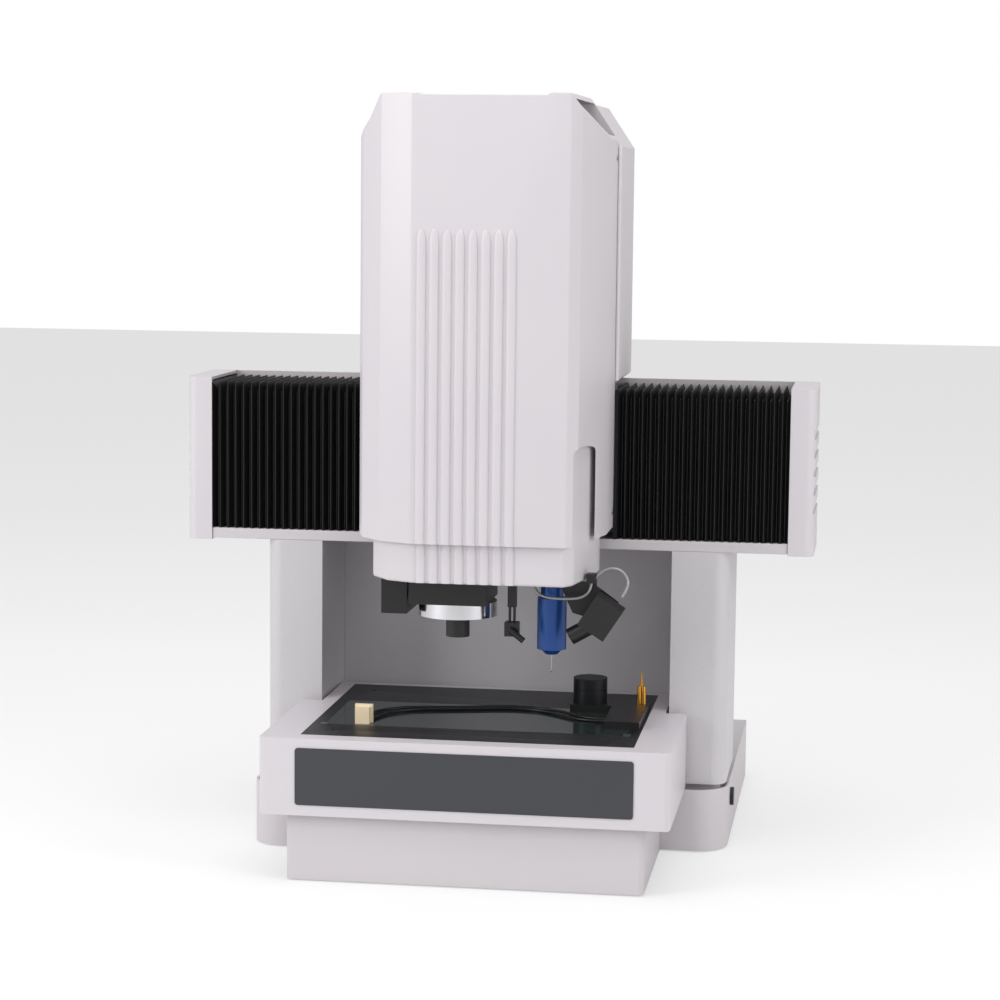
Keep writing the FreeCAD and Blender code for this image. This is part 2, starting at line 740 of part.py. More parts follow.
railTop = s.columnTop + s.railPlateHeight
beamBack = depth(s.beamCoverFront) + s.sheetWall
keep(box("BeamBottomRail", (-s.beamHalf, s.beamHalf), (depth(s.bellowsFront), beamBack),
         (s.columnTop, railTop)), "beam_bottom_rail")
crossY = (depth(s.crossFront), depth(s.crossBack))
wall = s.crossWall
crossSolid = box("CrossSolid", (-s.beamHalf, s.beamHalf), crossY, (railTop, s.crossTop))
crossVoid = box("CrossVoid", (-s.beamHalf - 1, s.beamHalf + 1), (crossY[0] + wall, crossY[1] - wall),
                (railTop + wall, s.crossTop - wall))
keep(cut("Crossbeam", crossSolid, crossVoid), "crossbeam")
keep(box("BeamRearCover", (-s.beamHalf, s.beamHalf), (depth(s.beamCoverFront), beamBack),
         (railTop, s.capTop)), "beam_rear_cover")


def endCap(side):
    """A moulded cap, open towards the beam, with finger notches down its outer face."""
    name = "Right" if side > 0 else "Left"
    body = newBody("EndCap" + name)
    inner = side * s.beamHalf
    outer = side * (s.beamHalf + s.capWide)
    start = depth(s.capFront)
    pad(body, "XY", s.capFoot, s.capTop - s.capFoot, rectangle((inner, start), (outer, beamBack)))
    roundEdges(body, s.capRound, uprightAt((outer, start), (outer, beamBack)))
    hollow(body, s.capWall, faceAt(x=inner))
    middle = (s.capFoot + s.capTop) / 2
    notchLow = middle - s.gripPitch * (s.gripCount - 1) / 2 - s.gripWidth / 2
    across = rectangle((outer - side * s.gripDepth, notchLow), (outer + side, notchLow + s.gripWidth))
    notch = pocket(body, "XZ", beamBack + 1, s.overallDepth, across)
    repeat(body, notch, "Z", s.gripPitch, s.gripCount)
    return keep(body, "end_cap_" + name.lower())


endCap(-1)
endCap(1)


def bellows(side):
    """A pleated skin over the front, top and back of the beam: a ruled loft over its folds."""
    name = "Right" if side > 0 else "Left"
    edge = s.carriageRight + s.flangeThick if side > 0 else s.carriageLeft - s.flangeThick
    start = edge.number
    end = side * s.beamHalf.number
    folds = 2 * int(s.pleatCount.number)
    low = railTop.number + s.bellowsGap.number
    wires = []
    for fold in range(folds + 1):
        x = start + (end - start) * fold / folds
        inset = s.pleatDepth.number * (fold % 2)
        skin = inset + s.pleatSkin.number
        outerFront = depth(s.bellowsFront).number
        outerBack = depth(s.bellowsBack).number
        top = s.bellowsTop.number
        section = [
            (outerFront + inset, low),
            (outerFront + inset, top - inset),
            (outerBack - inset, top - inset),
            (outerBack - inset, low),
            (outerBack - skin, low),
            (outerBack - skin, top - skin),
            (outerFront + skin, top - skin),
            (outerFront + skin, low),
        ]
        points = [Vector(x, y, z) for y, z in section]
        wires.append(Part.makePolygon(points + points[:1]))
    piece = doc.addObject("Part::Feature", "Bellows" + name)
    piece.Shape = Part.makeLoft(wires, True, True)
    return keep(piece, "bellows_" + name.lower())


bellows(-1)
bellows(1)

# ---- guide rails, screw bearings and motors of the fixed frame ---------------------------------

yRails = []
for side, tag in ((-1, "Left"), (1, "Right")):
    middle = side * s.yRailSpread
    yRails.append(box("YRail" + tag, (middle - s.railWidth / 2, middle + s.railWidth / 2),
                      (depth(s.yRailFront), depth(s.yRailBack)),
                      (s.bedHeight, s.bedHeight + s.railHeight)))
xRails = []
for height, tag in ((s.xRailLow, "Low"), (s.xRailHigh, "High")):
    xRails.append(box("XRail" + tag, (-s.beamHalf + s.railMargin, s.beamHalf - s.railMargin),
                      (crossY[0] - s.railHeight, crossY[0]),
                      (height - s.railWidth / 2, height + s.railWidth / 2)))
keep(group("GuideRails", *xRails, *yRails), "guide_rails")

xScrewY = depth(s.xScrewDepth)
xScrewZ = (s.xRailLow + s.xRailHigh) / 2
xScrewEnd = s.beamHalf - s.motorLength - 4
xBearingRight = xScrewEnd - s.bearingLength - s.motorGap
yScrewFront = depth(s.yRailFront) + 6
yMotorFront = depth(s.bedBack)
boreRadius = s.screwRadius + s.shaftGap


def boredBlock(name, along, blockX, blockY, blockZ, axisPoint, length):
    """A block with a through bore for a screw."""
    solid = box(name + "Solid", blockX, blockY, blockZ)
    step = {"X": (1, 0, 0), "Y": (0, 1, 0), "Z": (0, 0, 1)}[along]
    start = tuple(asSize(c) - move for c, move in zip(axisPoint, step))
    bore = rod(name + "Bore", along, boreRadius, start, length + 2)
    return cut(name, solid, bore)


def xBearing(tag, start):
    return boredBlock("XBearing" + tag, "X", (start, start + s.bearingLength),
                      (xScrewY - s.bearingHalf, crossY[0]),
                      (xScrewZ - s.bearingHalf, xScrewZ + s.bearingHalf),
                      (start, xScrewY, xScrewZ), s.bearingLength)


def yBearing(tag, start):
    return boredBlock("YBearing" + tag, "Y", (-s.bearingHalf, s.bearingHalf),
                      (start, start + s.bearingLength),
                      (s.troughFloor, s.yScrewHeight + s.bearingHalf),
                      (0, start, s.yScrewHeight), s.bearingLength)


xBearings = [xBearing("Left", -xScrewEnd), xBearing("Right", xBearingRight)]
yBearings = [yBearing("Front", yScrewFront), yBearing("Back", yMotorFront - s.bearingLength - 2)]
keep(group("ScrewBearings", *xBearings, *yBearings), "screw_bearings")

xMotor = box("XMotor", (xScrewEnd, xScrewEnd + s.motorLength),
             (xScrewY - s.motorHalf, crossY[0]),
             (xScrewZ - s.motorHalf, xScrewZ + s.motorHalf))
yMotor = box("YMotor", (-s.motorHalf, s.motorHalf), (yMotorFront, yMotorFront + s.motorLength),
             (s.deckHeight, s.yScrewHeight + s.motorHalf))
keep(group("AxisMotors", xMotor, yMotor), "axis_motors")

keep(rod("XScrew", "X", s.screwRadius, (-xScrewEnd, xScrewY, xScrewZ), xScrewEnd * 2 - s.motorGap),
     "x_screw")
keep(rod("YScrew", "Y", s.screwRadius, (0, yScrewFront, s.yScrewHeight),
         yMotorFront - s.motorGap - yScrewFront), "y_screw")

# ---- work table ----------------------------------------------------------------------------

plateFoot = s.bedHeight + s.blockHeight
plateTop = plateFoot + s.plateHeight
glassFoot = s.tableTop - s.glassThick
lightFoot = plateTop - s.lightThick
glassInner = s.glassHalf - s.glassLedge
windowFront = depth(s.glassFront + s.glassLedge)
windowBack = depth(s.glassBack - s.glassLedge)


def yBlock(tag, x, y):
    """A guide block straddling its rail."""
    solid = box("YBlockSolid" + tag, (x - s.blockWidth / 2, x + s.blockWidth / 2),
                (y - s.blockLength / 2, y + s.blockLength / 2),
                (s.bedHeight + s.blockLift, plateFoot))
    half = s.railWidth / 2 + s.slideGap
    slot = box("YBlockSlot" + tag, (x - half, x + half),
               (y - s.blockLength / 2 - 1, y + s.blockLength / 2 + 1),
               (s.bedHeight, s.bedHeight + s.railHeight + s.slideGap))
    return cut("YBlock" + tag, solid, slot)


yBlocks = [
    yBlock(f"{end}{side}", sign * s.yRailSpread, depth(place_y))
    for end, place_y in (("Front", s.yBlockFront), ("Back", s.yBlockBack))
    for side, sign in (("Left", -1), ("Right", 1))
]
yNutStart = depth(s.yNutPlace) - s.nutLength / 2
yNut = boredBlock("YNut", "Y", (-s.nutHalf, s.nutHalf), (yNutStart, yNutStart + s.nutLength),
                  (s.yScrewHeight - s.nutRadius, plateFoot), (0, yNutStart, s.yScrewHeight), s.nutLength)
keep(group("YBlocks", *yBlocks, yNut), "y_blocks_and_nut")


def tablePlate():
    body = newBody("TablePlate")
    neckFront = depth(s.tableBack - s.tableWall)
    plan = [
        (-s.plateHalf, depth(s.openFront)),
        (s.plateHalf, depth(s.openFront)),
        (s.plateHalf, neckFront),
        (s.plateNeck, neckFront),
        (s.plateNeck, depth(s.plateBack)),
        (-s.plateNeck, depth(s.plateBack)),
        (-s.plateNeck, neckFront),
        (-s.plateHalf, neckFront),
    ]
    pad(body, "XY", plateFoot, s.plateHeight, plan)
    window = rectangle((-glassInner, windowFront), (glassInner, windowBack))
    pocket(body, "XY", lightFoot, s.lightThick + 1, window)
    return keep(body, "table_plate")


def tableCover():
    """The moulded cover round the table: wide in front, narrower between the columns."""
    body = newBody("TableCover")
    shoulder = depth(s.tableShoulder)
    back = depth(s.tableBack)
    plan = [
        (-s.tableHalf, front),
        (s.tableHalf, front),
        (s.tableHalf, shoulder),
        (s.tableNarrow, shoulder),
        (s.tableNarrow, back),
        (-s.tableNarrow, back),
        (-s.tableNarrow, shoulder),
        (-s.tableHalf, shoulder),
    ]
    pad(body, "XY", s.tableFoot, s.tableTop - s.tableFoot, plan)
    corners = [plan[0], plan[1]]
    roundEdges(body, s.tableRound, uprightAt(*corners))
    hollow(body, s.tableWall, faceAt(z=s.tableFoot))
    opening = rectangle((-s.openHalf, depth(s.openFront)), (s.openHalf, depth(s.openBack)))
    pocket(body, "XY", s.tableTop - s.tableWall - 1, s.tableWall + 2, opening)
    tunnelHalf = s.plateNeck + s.coverGap
    tunnelLow = (-tunnelHalf, s.tableFoot - 1)
    tunnel = rectangle(tunnelLow, (tunnelHalf, plateTop + s.coverGap))
    pocket(body, "XZ", back + 1, s.tableWall + 2, tunnel)
    return keep(body, "table_cover")


def tableFrame():
    body = newBody("TableFrame")
    outer = rectangle((-s.openHalf, depth(s.openFront)), (s.openHalf, depth(s.openBack)))
    pad(body, "XY", plateTop, s.tableTop - plateTop, outer)
    seat = rectangle((-s.glassHalf, depth(s.glassFront)), (s.glassHalf, depth(s.glassBack)))
    pocket(body, "XY", glassFoot, s.glassThick + 1, seat)
    window = rectangle((-glassInner, windowFront), (glassInner, windowBack))
    pocket(body, "XY", plateTop - 1, s.tableTop, window)
    doc.recompute()
    holes = body.newObject("Sketcher::SketchObject", "FixtureHoles")
    support = [f for f in body.Origin.OriginFeatures if f.Role == "XY_Plane"]
    holes.AttachmentSupport = [(support[0], "")]
    holes.MapMode = "FlatFace"
    bind(holes, "AttachmentOffset.Base.z", s.tableTop - s.fixtureHoleDepth)
    for side in (-1, 1):
        for place_y in (s.fixtureHoleFront, s.fixtureHoleBack):
            x = side * s.fixtureHoleSpread
            y = depth(place_y)
            centre = Vector(x.number, y.number, 0)
            circle = Part.Circle(centre, Vector(0, 0, 1), s.fixtureHoleRadius.number)
            hole = holes.addGeometry(circle)
            for kind, size in (("DistanceX", x), ("DistanceY", y)):
                index = holes.addConstraint(Sketcher.Constraint(kind, -1, 1, hole, 3, size.number))
                holes.setExpression(f"Constraints[{index}]", size.text)
            radius = s.fixtureHoleRadius
            index = holes.addConstraint(Sketcher.Constraint("Radius", hole, radius.number))
            holes.setExpression(f"Constraints[{index}]", radius.text)
    extrude(body, "Pocket", holes, s.fixtureHoleDepth + 1)
    return keep(body, "table_frame")


def namePlate():
    body = newBody("NamePlate")
    top = s.tableTop - s.namePlateDrop
    low = (s.namePlateShift - s.namePlateHalf, top - s.namePlateHeight)
    high = (s.namePlateShift + s.namePlateHalf, top)
    pad(body, "XZ", front, s.namePlateThick, rectangle(low, high))
    roundEdges(body, s.namePlateRound, lambda edge: runsAlong(edge, "y"))
    return keep(body, "name_plate")


tablePlate()
tableCover()
tableFrame()
namePlate()
keep(box("StageGlass", (-s.glassHalf, s.glassHalf), (depth(s.glassFront), depth(s.glassBack)),
         (glassFoot, s.tableTop)), "stage_glass")
keep(box("BacklightPanel", (-glassInner, glassInner), (windowFront, windowBack),
         (lightFoot, plateTop)), "backlight_panel")
clips = []
for side, tag in ((-1, "Left"), (1, "Right")):
    x = side * s.glassHalf
    y = depth(s.glassFront)
    clips.append(box("Clip" + tag, (x - s.clipSize / 2, x + s.clipSize / 2),
                     (y - s.clipSize / 2, y + s.clipSize / 2),
                     (s.tableTop, s.tableTop + s.clipThick)))
keep(group("GlassClips", *clips), "glass_clips")

# ---- pieces on the table ---------------------------------------------------------------------

rackTop = s.tableTop + s.rackThick
rackBar = box("RackBar", (s.rackInner, s.rackOuter), (depth(s.rackFront), depth(s.rackBack)),
              (s.tableTop, rackTop))
rackArm = box("RackArm", (s.rackArmInner, s.rackInner + 1),
              (depth(s.moduleDepth) - s.moduleRadius, depth(s.moduleDepth) + s.moduleRadius),
              (s.tableTop, rackTop))
keep(fuse("ProbeRack", rackBar, rackArm), "probe_rack")

moduleStart = (s.moduleX, depth(s.moduleDepth), rackTop)
moduleSolid = rod("ModuleSolid", "Z", s.moduleRadius, moduleStart, s.moduleTall)
grooveStart = (s.moduleX, depth(s.moduleDepth), rackTop + s.moduleTall * 0.55)
grooveOuter = rod("GrooveOuter", "Z", s.moduleRadius + 1, grooveStart, s.moduleGroove)
grooveInner = rod("GrooveInner", "Z", s.moduleRadius - s.moduleGroove, grooveStart, s.moduleGroove)
keep(cut("ProbeModule", moduleSolid, cut("Groove", grooveOuter, grooveInner)), "probe_module")

pins = []
for side, tag in ((-1, "Left"), (1, "Right")):
    start = (s.postX + side * s.postPinRadius, depth(s.postDepth), rackTop)
    pins.append(rod("Pin" + tag, "Z", s.postPinRadius + 0.2, start, s.postPinTall))
tip = cone("PinTip", s.postPinRadius * 0.8, 0.5,
           (s.postX, depth(s.postDepth), rackTop + s.postPinTall), s.postTipTall)
keep(fuse("ReferencePins", *pins, tip), "reference_pins")

calX = (s.calBlockX - s.calBlockWide / 2, s.calBlockX + s.calBlockWide / 2)
calY = (depth(s.calBlockDepth), depth(s.calBlockDepth) + s.calBlockDeep)
calTile = box("CalTile", calX, calY, (s.tableTop, s.tableTop + s.calBlockTall))
calHolder = box("CalHolder", (calX[0] - s.calHolder, calX[1] + s.calHolder),
                (calY[1], calY[1] + s.calHolder * 2),
                (s.tableTop, s.tableTop + s.calBlockTall + s.calHolder))
keep(fuse("CalibrationBlock", calTile, calHolder), "calibration_block")

# ---- cables --------------------------------------------------------------------------------


def cable(name, radius, route):
    """A tube of straight runs joined by tangent arcs; prints each bend's radius."""
    points = [Vector(*point) for point in route]
    edges = []
    start = points[0]
    radii = []
    for before, corner, after in zip(points, points[1:], points[2:]):
        inward = (before - corner).normalize()
        outward = (after - corner).normalize()
        turn = (inward * -1).getAngle(outward)
        reach = 0.45 * min((before - corner).Length, (after - corner).Length)
        entry = corner + inward * reach
        leave = corner + outward * reach
        middleway = (inward + outward).normalize()
        bend = reach / math.tan(turn / 2)
        centreGap = (bend ** 2 + reach ** 2) ** 0.5
        through = corner + middleway * (centreGap - bend)
        edges.append(Part.LineSegment(start, entry).toShape())
        edges.append(Part.Arc(entry, through, leave).toShape())
        radii.append(round(bend, 1))
        start = leave
    edges.append(Part.LineSegment(start, points[-1]).toShape())
    path = Part.Wire(edges)
    section = Part.Wire(Part.makeCircle(radius, points[0], points[1] - points[0]))
    tube = path.makePipeShell([section], True, True)
    print(name, "length", round(path.Length, 1), "radii", radii)
    return tube


def cableNode(name, label, radius, *routes):
    """Tubes along routes of (x, depth, height) points."""
    shapes = []
    for route in routes:
        path = [(x, front.number + y, z) for x, y, z in route]
        shapes.append(cable(label, radius.number, path))
    piece = doc.addObject("Part::Feature", name)
    piece.Shape = shapes[0] if len(shapes) == 1 else Part.makeCompound(shapes)
    return keep(piece, label)


# Both leads run from the module rack over the glass to the back of the calibration block.
lie = (s.tableTop + s.tableCableRadius + 0.2).number
rackFace = s.rackInner.number
holderBack = (s.calBlockDepth + s.calBlockDeep + s.calHolder * 2).number
frontLead = [
    (rackFace, 176, lie),
    (142, 177, lie),
    (118, 190, lie),
    (92, 217, lie),
    (62, 237, lie),
    (22, 240, lie),
    (-20, 228, lie),
    (-60, 218, lie),
    (-96, 208, lie),
    (-124, 186, lie),
    (-138, 156, lie),
    (-145, holderBack, lie),
]
backLead = [
    (rackFace, 190, lie),
    (143, 193, lie),
    (121, 207, lie),
    (98, 232, lie),
    (64, 251, lie),
    (22, 252, lie),
    (-22, 239, lie),
    (-62, 229, lie),
    (-104, 222, lie),
    (-136, 202, lie),
    (-154, 170, lie),
    (-157, holderBack, lie),
]
cableNode("TableCables", "table_cables", s.tableCableRadius, frontLead, backLead)

# ---- carriage ------------------------------------------------------------------------------

carriageBack = crossY[0] - s.blockHeight
carriageX = (s.carriageLeft, s.carriageRight)
carriageY = (depth(s.carriageFront), carriageBack)
keep(box("CarriagePlate", carriageX, carriageY, (s.carriageFoot, s.carriageTop)), "carriage_plate")


def xBlock(tag, x, z):
    solid = box("XBlockSolid" + tag, (x - s.blockLength / 2, x + s.blockLength / 2),
                (carriageBack, crossY[0] - s.blockLift),
                (z - s.blockWidth / 2, z + s.blockWidth / 2))
    half = s.railWidth / 2 + s.slideGap
    slot = box("XBlockSlot" + tag, (x - s.blockLength / 2 - 1, x + s.blockLength / 2 + 1),
               (crossY[0] - s.railHeight - s.slideGap, crossY[0]), (z - half, z + half))
    return cut("XBlock" + tag, solid, slot)


xBlocks = [
    xBlock(f"{level}{side}", sign * s.xBlockSpread, height)
    for level, height in (("Low", s.xRailLow), ("High", s.xRailHigh))
    for side, sign in (("Left", -1), ("Right", 1))
]
xNut = boredBlock("XNut", "X", (-s.nutLength / 2, s.nutLength / 2),
                  (carriageBack, xScrewY + s.nutRadius), (xScrewZ - s.nutHalf, xScrewZ + s.nutHalf),
                  (-s.nutLength / 2, xScrewY, xScrewZ), s.nutLength)
keep(group("XBlocks", *xBlocks, xNut), "x_blocks_and_nut")

flangeDepth = s.pleatDepth + s.pleatSkin
flangeLow = railTop + s.bellowsGap


def bellowsFlange(tag, x):
    outer = box("FlangeOuter" + tag, (x, x + s.flangeThick), (depth(s.bellowsFront), depth(s.bellowsBack)),
                (flangeLow, s.bellowsTop))
    inner = box("FlangeInner" + tag, (x - 1, x + s.flangeThick + 1),
                (depth(s.bellowsFront) + flangeDepth, depth(s.bellowsBack) - flangeDepth),
                (flangeLow - 1, s.bellowsTop - flangeDepth))
    return cut("Flange" + tag, outer, inner)


flanges = [bellowsFlange("Left", s.carriageLeft - s.flangeThick), bellowsFlange("Right", s.carriageRight)]
keep(group("BellowsFlanges", *flanges), "bellows_flanges")


def cutTopCorners(body, left, right, top, behind):
    """The stepped corner on the left and the straight one on the right of the head's top."""
    leftCorner = [
        (left - 1, top - s.cornerTall),
        (left, top - s.cornerTall),
        (left + s.cornerKneeWide, top - s.cornerTall + s.cornerKneeTall),
        (left + s.cornerWide, top),
        (left + s.cornerWide, top + 1),
        (left - 1, top + 1),
    ]
    rightCorner = [
        (right + 1, top - s.cornerTall),
        (right, top - s.cornerTall),
        (right - s.cornerWide, top),
        (right - s.cornerWide, top + 1),
        (right + 1, top + 1),
    ]
    for corner in (leftCorner, rightCorner):
        pocket(body, "XZ", behind + 1, s.overallDepth, corner)


def addRibs(body, face, foot, top):
    """A row of upright ribs on a front face, with tapered upper ends."""
    left = s.ribFirst - s.ribWidth / 2
    right = s.ribFirst + s.ribWidth / 2
    taper = s.ribWidth / 4
    rib = [
        (left, foot),
        (right, foot),
        (right, top - taper * 2),
        (right - taper, top),
        (left + taper, top),
        (left, top - taper * 2),
    ]
    feature = pad(body, "XZ", face, s.ribProud, rib)
    repeat(body, feature, "X", s.ribPitch, s.ribCount)


def headCover():
    """The tall moulded cover of the head, open at the back and at the bottom."""
    body = newBody("HeadCover")
    face = depth(s.headFront)
    back = depth(s.carriageFront)
    plan = [
        (s.headFlatLeft, face),
        (s.headFlatRight, face),
        (s.headBevelRight, face + s.headBevelDepth),
        (s.carriageRight, face + s.headSideDepthRight),
        (s.carriageRight, back),
        (s.carriageLeft, back),
        (s.carriageLeft, face + s.headSideDepthLeft),
        (s.headKneeLeft, face + s.headKneeDepth),
        (s.headBevelLeft, face + s.headBevelDepth),
    ]
    pad(body, "XY", s.headFoot, s.headTop - s.headFoot, plan)
    cutTopCorners(body, s.carriageLeft, s.carriageRight, s.headTop, back)
    roundEdges(body, s.headEdgeRound, uprightAt(plan[0], plan[1], plan[2], plan[8]))
    hollow(body, s.headWall, lambda face: faceAt(z=s.headFoot)(face) or faceAt(y=back)(face))
    arch = [
        (s.archLeft, s.headFoot - 1),
        (s.archRight, s.headFoot - 1),
        (s.archRight, s.archTop - s.archRound),
        (s.archRight - s.archRound, s.archTop),
        (s.archLeft + s.archRound, s.archTop),
        (s.archLeft, s.archTop - s.archRound),
    ]
    pocket(body, "XZ", face + s.headSideDepthRight, s.headSideDepthRight + 1, arch)
    addRibs(body, face, s.headFoot, s.ribTop)
    return keep(body, "head_cover")


def headRearCover():
    body = newBody("HeadRearCover")
    start = carriageY[0]
    left = s.carriageLeft - s.rearCoverWall
    right = s.carriageRight + s.rearCoverWall
    back = depth(s.rearCoverBack)
    height = s.rearCoverTop - s.rearCoverFoot
    pad(body, "XY", s.rearCoverFoot, height, rectangle((left, start), (right, back)))
    cutTopCorners(body, left, right, s.rearCoverTop, back)
    hollow(body, s.rearCoverWall, lambda face: (
        faceAt(z=s.rearCoverFoot)(face) or faceAt(y=start)(face)))
    return keep(body, "head_rear_cover")


headCover()
headRearCover()

zRailY = (carriageY[0] - s.railHeight, carriageY[0])
zRails = []
for side, tag in ((-1, "Left"), (1, "Right")):
    middle = side * s.zRailSpread
    zRails.append(box("ZRail" + tag, (middle - s.railWidth / 2, middle + s.railWidth / 2),
                      zRailY, (s.zRailLow, s.zRailHigh)))
keep(group("ZRails", *zRails), "z_guide_rails")

ramBack = carriageY[0] - s.blockHeight
ramFront = ramBack - s.ramThick
zScrewY = carriageY[0] - s.blockHeight / 2
zScrewLow = s.zRailLow + 2
zBracketFront = ramBack + 2
zMotorLow = s.carriageTop + s.zBracketThick
zLowBearing = boredBlock("ZLowBearing", "Z", (-s.bearingHalf, s.bearingHalf),
                         (zBracketFront, carriageY[0]), (zScrewLow, zScrewLow + s.bearingLength),
                         (0, zScrewY, zScrewLow), s.bearingLength)
zBracket = boredBlock("ZBracket", "Z", (-s.bearingHalf, s.bearingHalf), (zBracketFront, carriageY[1]),
                      (s.carriageTop, zMotorLow), (0, zScrewY, s.carriageTop), s.zBracketThick)
keep(group("ZBearings", zLowBearing, zBracket), "z_screw_bearings")
keep(box("ZMotor", (-s.motorHalf, s.motorHalf), (zScrewY - s.motorHalf, zScrewY + s.motorHalf),
         (zMotorLow, zMotorLow + s.motorLength)), "z_motor")
keep(rod("ZScrew", "Z", s.screwRadius, (0, zScrewY, zScrewLow), zMotorLow - s.motorGap - zScrewLow),
     "z_screw")

screwDepth = depth(s.carriageFront) - s.coverScrewInset
coverScrews = [
    rod(f"CoverScrew{i}", "X", s.screwHeadRadius, (s.carriageRight, screwDepth, height), s.screwHeadProud)
    for i, height in enumerate((s.headTop - s.coverScrewDrop, s.headFoot + s.coverScrewLift))
]
keep(group("CoverScrews", *coverScrews), "cover_screws")

# ---- ram -----------------------------------------------------------------------------------

headPlateFoot = s.innerFoot + s.headPlateLift
keep(box("RamPlate", (-s.ramHalf, s.ramHalf), (ramFront, ramBack), (headPlateFoot, s.ramTop)),
     "ram_plate")


def zBlock(tag, x, z):
    solid = box("ZBlockSolid" + tag, (x - s.blockWidth / 2, x + s.blockWidth / 2),
                (ramBack, carriageY[0] - s.blockLift),
                (z - s.blockLength / 2, z + s.blockLength / 2))
    half = s.railWidth / 2 + s.slideGap
    slot = box("ZBlockSlot" + tag, (x - half, x + half),
               (carriageY[0] - s.railHeight - s.slideGap, carriageY[0]),
               (z - s.blockLength / 2 - 1, z + s.blockLength / 2 + 1))
    return cut("ZBlock" + tag, solid, slot)


zBlocks = [
    zBlock(f"{level}{side}", sign * s.zRailSpread, height)
    for level, height in (("Low", s.zBlockLow), ("High", s.zBlockHigh))
    for side, sign in (("Left", -1), ("Right", 1))
]
zNutLow = s.zNutPlace - s.nutLength / 2
zNut = boredBlock("ZNut", "Z", (-s.nutHalf, s.nutHalf), (ramBack, zScrewY + s.nutRadius),
                  (zNutLow, zNutLow + s.nutLength), (0, zScrewY, zNutLow), s.nutLength)
keep(group("ZBlocks", *zBlocks, zNut), "z_blocks_and_nut")

innerFace = depth(s.headFront) + s.headWall + s.coverGap
innerBackY = ramFront - s.innerWall


def innerCover():
    """The cover that moves with the ram, nested inside the head cover."""
    body = newBody("InnerCover")
    plan = [
        (s.innerFlatLeft, innerFace),
        (s.innerFlatRight, innerFace),
        (s.innerBevelRight, innerFace + s.innerBevelDepth),
        (s.innerRight, innerFace + s.innerSideDepthRight),
        (s.innerRight, innerBackY),
        (s.innerLeft, innerBackY),
        (s.innerLeft, innerFace + s.innerSideDepthLeft),
        (s.innerBevelLeft, innerFace + s.innerBevelDepth),
    ]
    pad(body, "XY", s.innerFoot, s.innerTop - s.innerFoot, plan)
    roundEdges(body, s.headEdgeRound, uprightAt(plan[0], plan[1], plan[2], plan[7]))
    hollow(body, s.innerWall, lambda face: (
        faceAt(z=s.innerFoot)(face) or faceAt(z=s.innerTop)(face) or faceAt(y=innerBackY)(face)))
    addRibs(body, innerFace, s.innerFoot, s.innerTop)
    return keep(body, "inner_cover")


def headPlate():
    """The plate under the ram that carries the optics, the probe and the camera."""
    body = newBody("HeadPlate")
    shoulder = innerFace + s.innerSideDepthRight
    left = s.innerLeft + s.innerWall
    right = s.innerRight - s.innerWall
    nose = innerFace + s.innerWall
    plan = [
        (left, shoulder),
        (s.plateNoseLeft, shoulder),
        (s.plateNoseLeft, nose),
        (s.plateNoseRight, nose),
        (s.plateNoseRight, shoulder),
        (right, shoulder),
        (right, ramFront),
        (left, ramFront),
    ]
    pad(body, "XY", headPlateFoot, s.headPlateThick, plan)
    return body


innerCover()
plateBody = headPlate()
opticY = depth(s.opticDepth)
plateHole = rod("PlateHole", "Z", s.tubeRadius + s.slideGap,
                (s.opticX, opticY, headPlateFoot - 1), s.headPlateThick + 2)
keep(cut("HeadPlateCut", plateBody, plateHole), "head_plate")

housingFoot = headPlateFoot - s.housingTall
objectiveFoot = housingFoot - s.objectiveLong
housing = box("Housing", (s.housingLeft, s.housingRight), (depth(s.housingFront), depth(s.housingBack)),
              (housingFoot, headPlateFoot))
zoomTube = rod("ZoomTube", "Z", s.tubeRadius, (s.opticX, opticY, headPlateFoot),
               s.tubeTall)
keep(fuse("OpticsHousing", housing, zoomTube), "optics_housing")

ringFoot = housingFoot - s.ringThick
ringOuter = rod("RingOuter", "Z", s.ringRadius, (s.opticX, opticY, ringFoot), s.ringThick)
ringBore = rod("RingBore", "Z", s.ringBore, (s.opticX, opticY, ringFoot - 1), s.ringThick + 2)
keep(cut("RingLight", ringOuter, ringBore), "ring_light")

barrelTop = objectiveFoot + s.objectiveTall
barrel = rod("Barrel", "Z", s.objectiveRadius, (s.opticX, opticY, objectiveFoot), s.objectiveTall)
root = cone("Root", s.objectiveRadius, s.objectiveRoot, (s.opticX, opticY, barrelTop),
            housingFoot - barrelTop)
keep(fuse("Objective", barrel, root), "objective")

keep(box("LaserBlock", (s.sideBlockLeft, s.sideBlockRight),
         (depth(s.sideBlockFront), depth(s.sideBlockBack)),
         (headPlateFoot - s.sideBlockTall, headPlateFoot)),
     "laser_block")

# spot lamp on a post with two arms and a clamp
lampY = depth(s.lampDepth)
lampPostFoot = headPlateFoot - s.lampPostTall
lampPivot = headPlateFoot - s.lampPivotDrop
post = box("Post", (s.lampX - s.lampPostHalf, s.lampX + s.lampPostHalf),
           (lampY - s.lampPostHalf, lampY + s.lampPostHalf), (lampPostFoot, headPlateFoot))
clampHalf = s.lampClampHalf
clampSolid = box("ClampSolid", (s.lampX - clampHalf, s.lampX + clampHalf),
                 (lampY - clampHalf, lampY + clampHalf),
                 (lampPivot - clampHalf, lampPivot + clampHalf))
clampBore = rod("ClampBore", "Y", s.lampPinRadius + s.shaftGap,
                (s.lampX, lampY - clampHalf - 1, lampPivot), clampHalf * 2 + 2)
armTop = lampPostFoot + 1
armFoot = lampPivot + clampHalf - 1
arms = [
    rod(f"Arm{side}", "Z", s.lampArmRadius, (s.lampX + side * clampHalf / 3, lampY, armFoot), armTop - armFoot)
    for side in (-1, 1)
]
keep(fuse("LampPost", post, cut("Clamp", clampSolid, clampBore), *arms), "lamp_post")

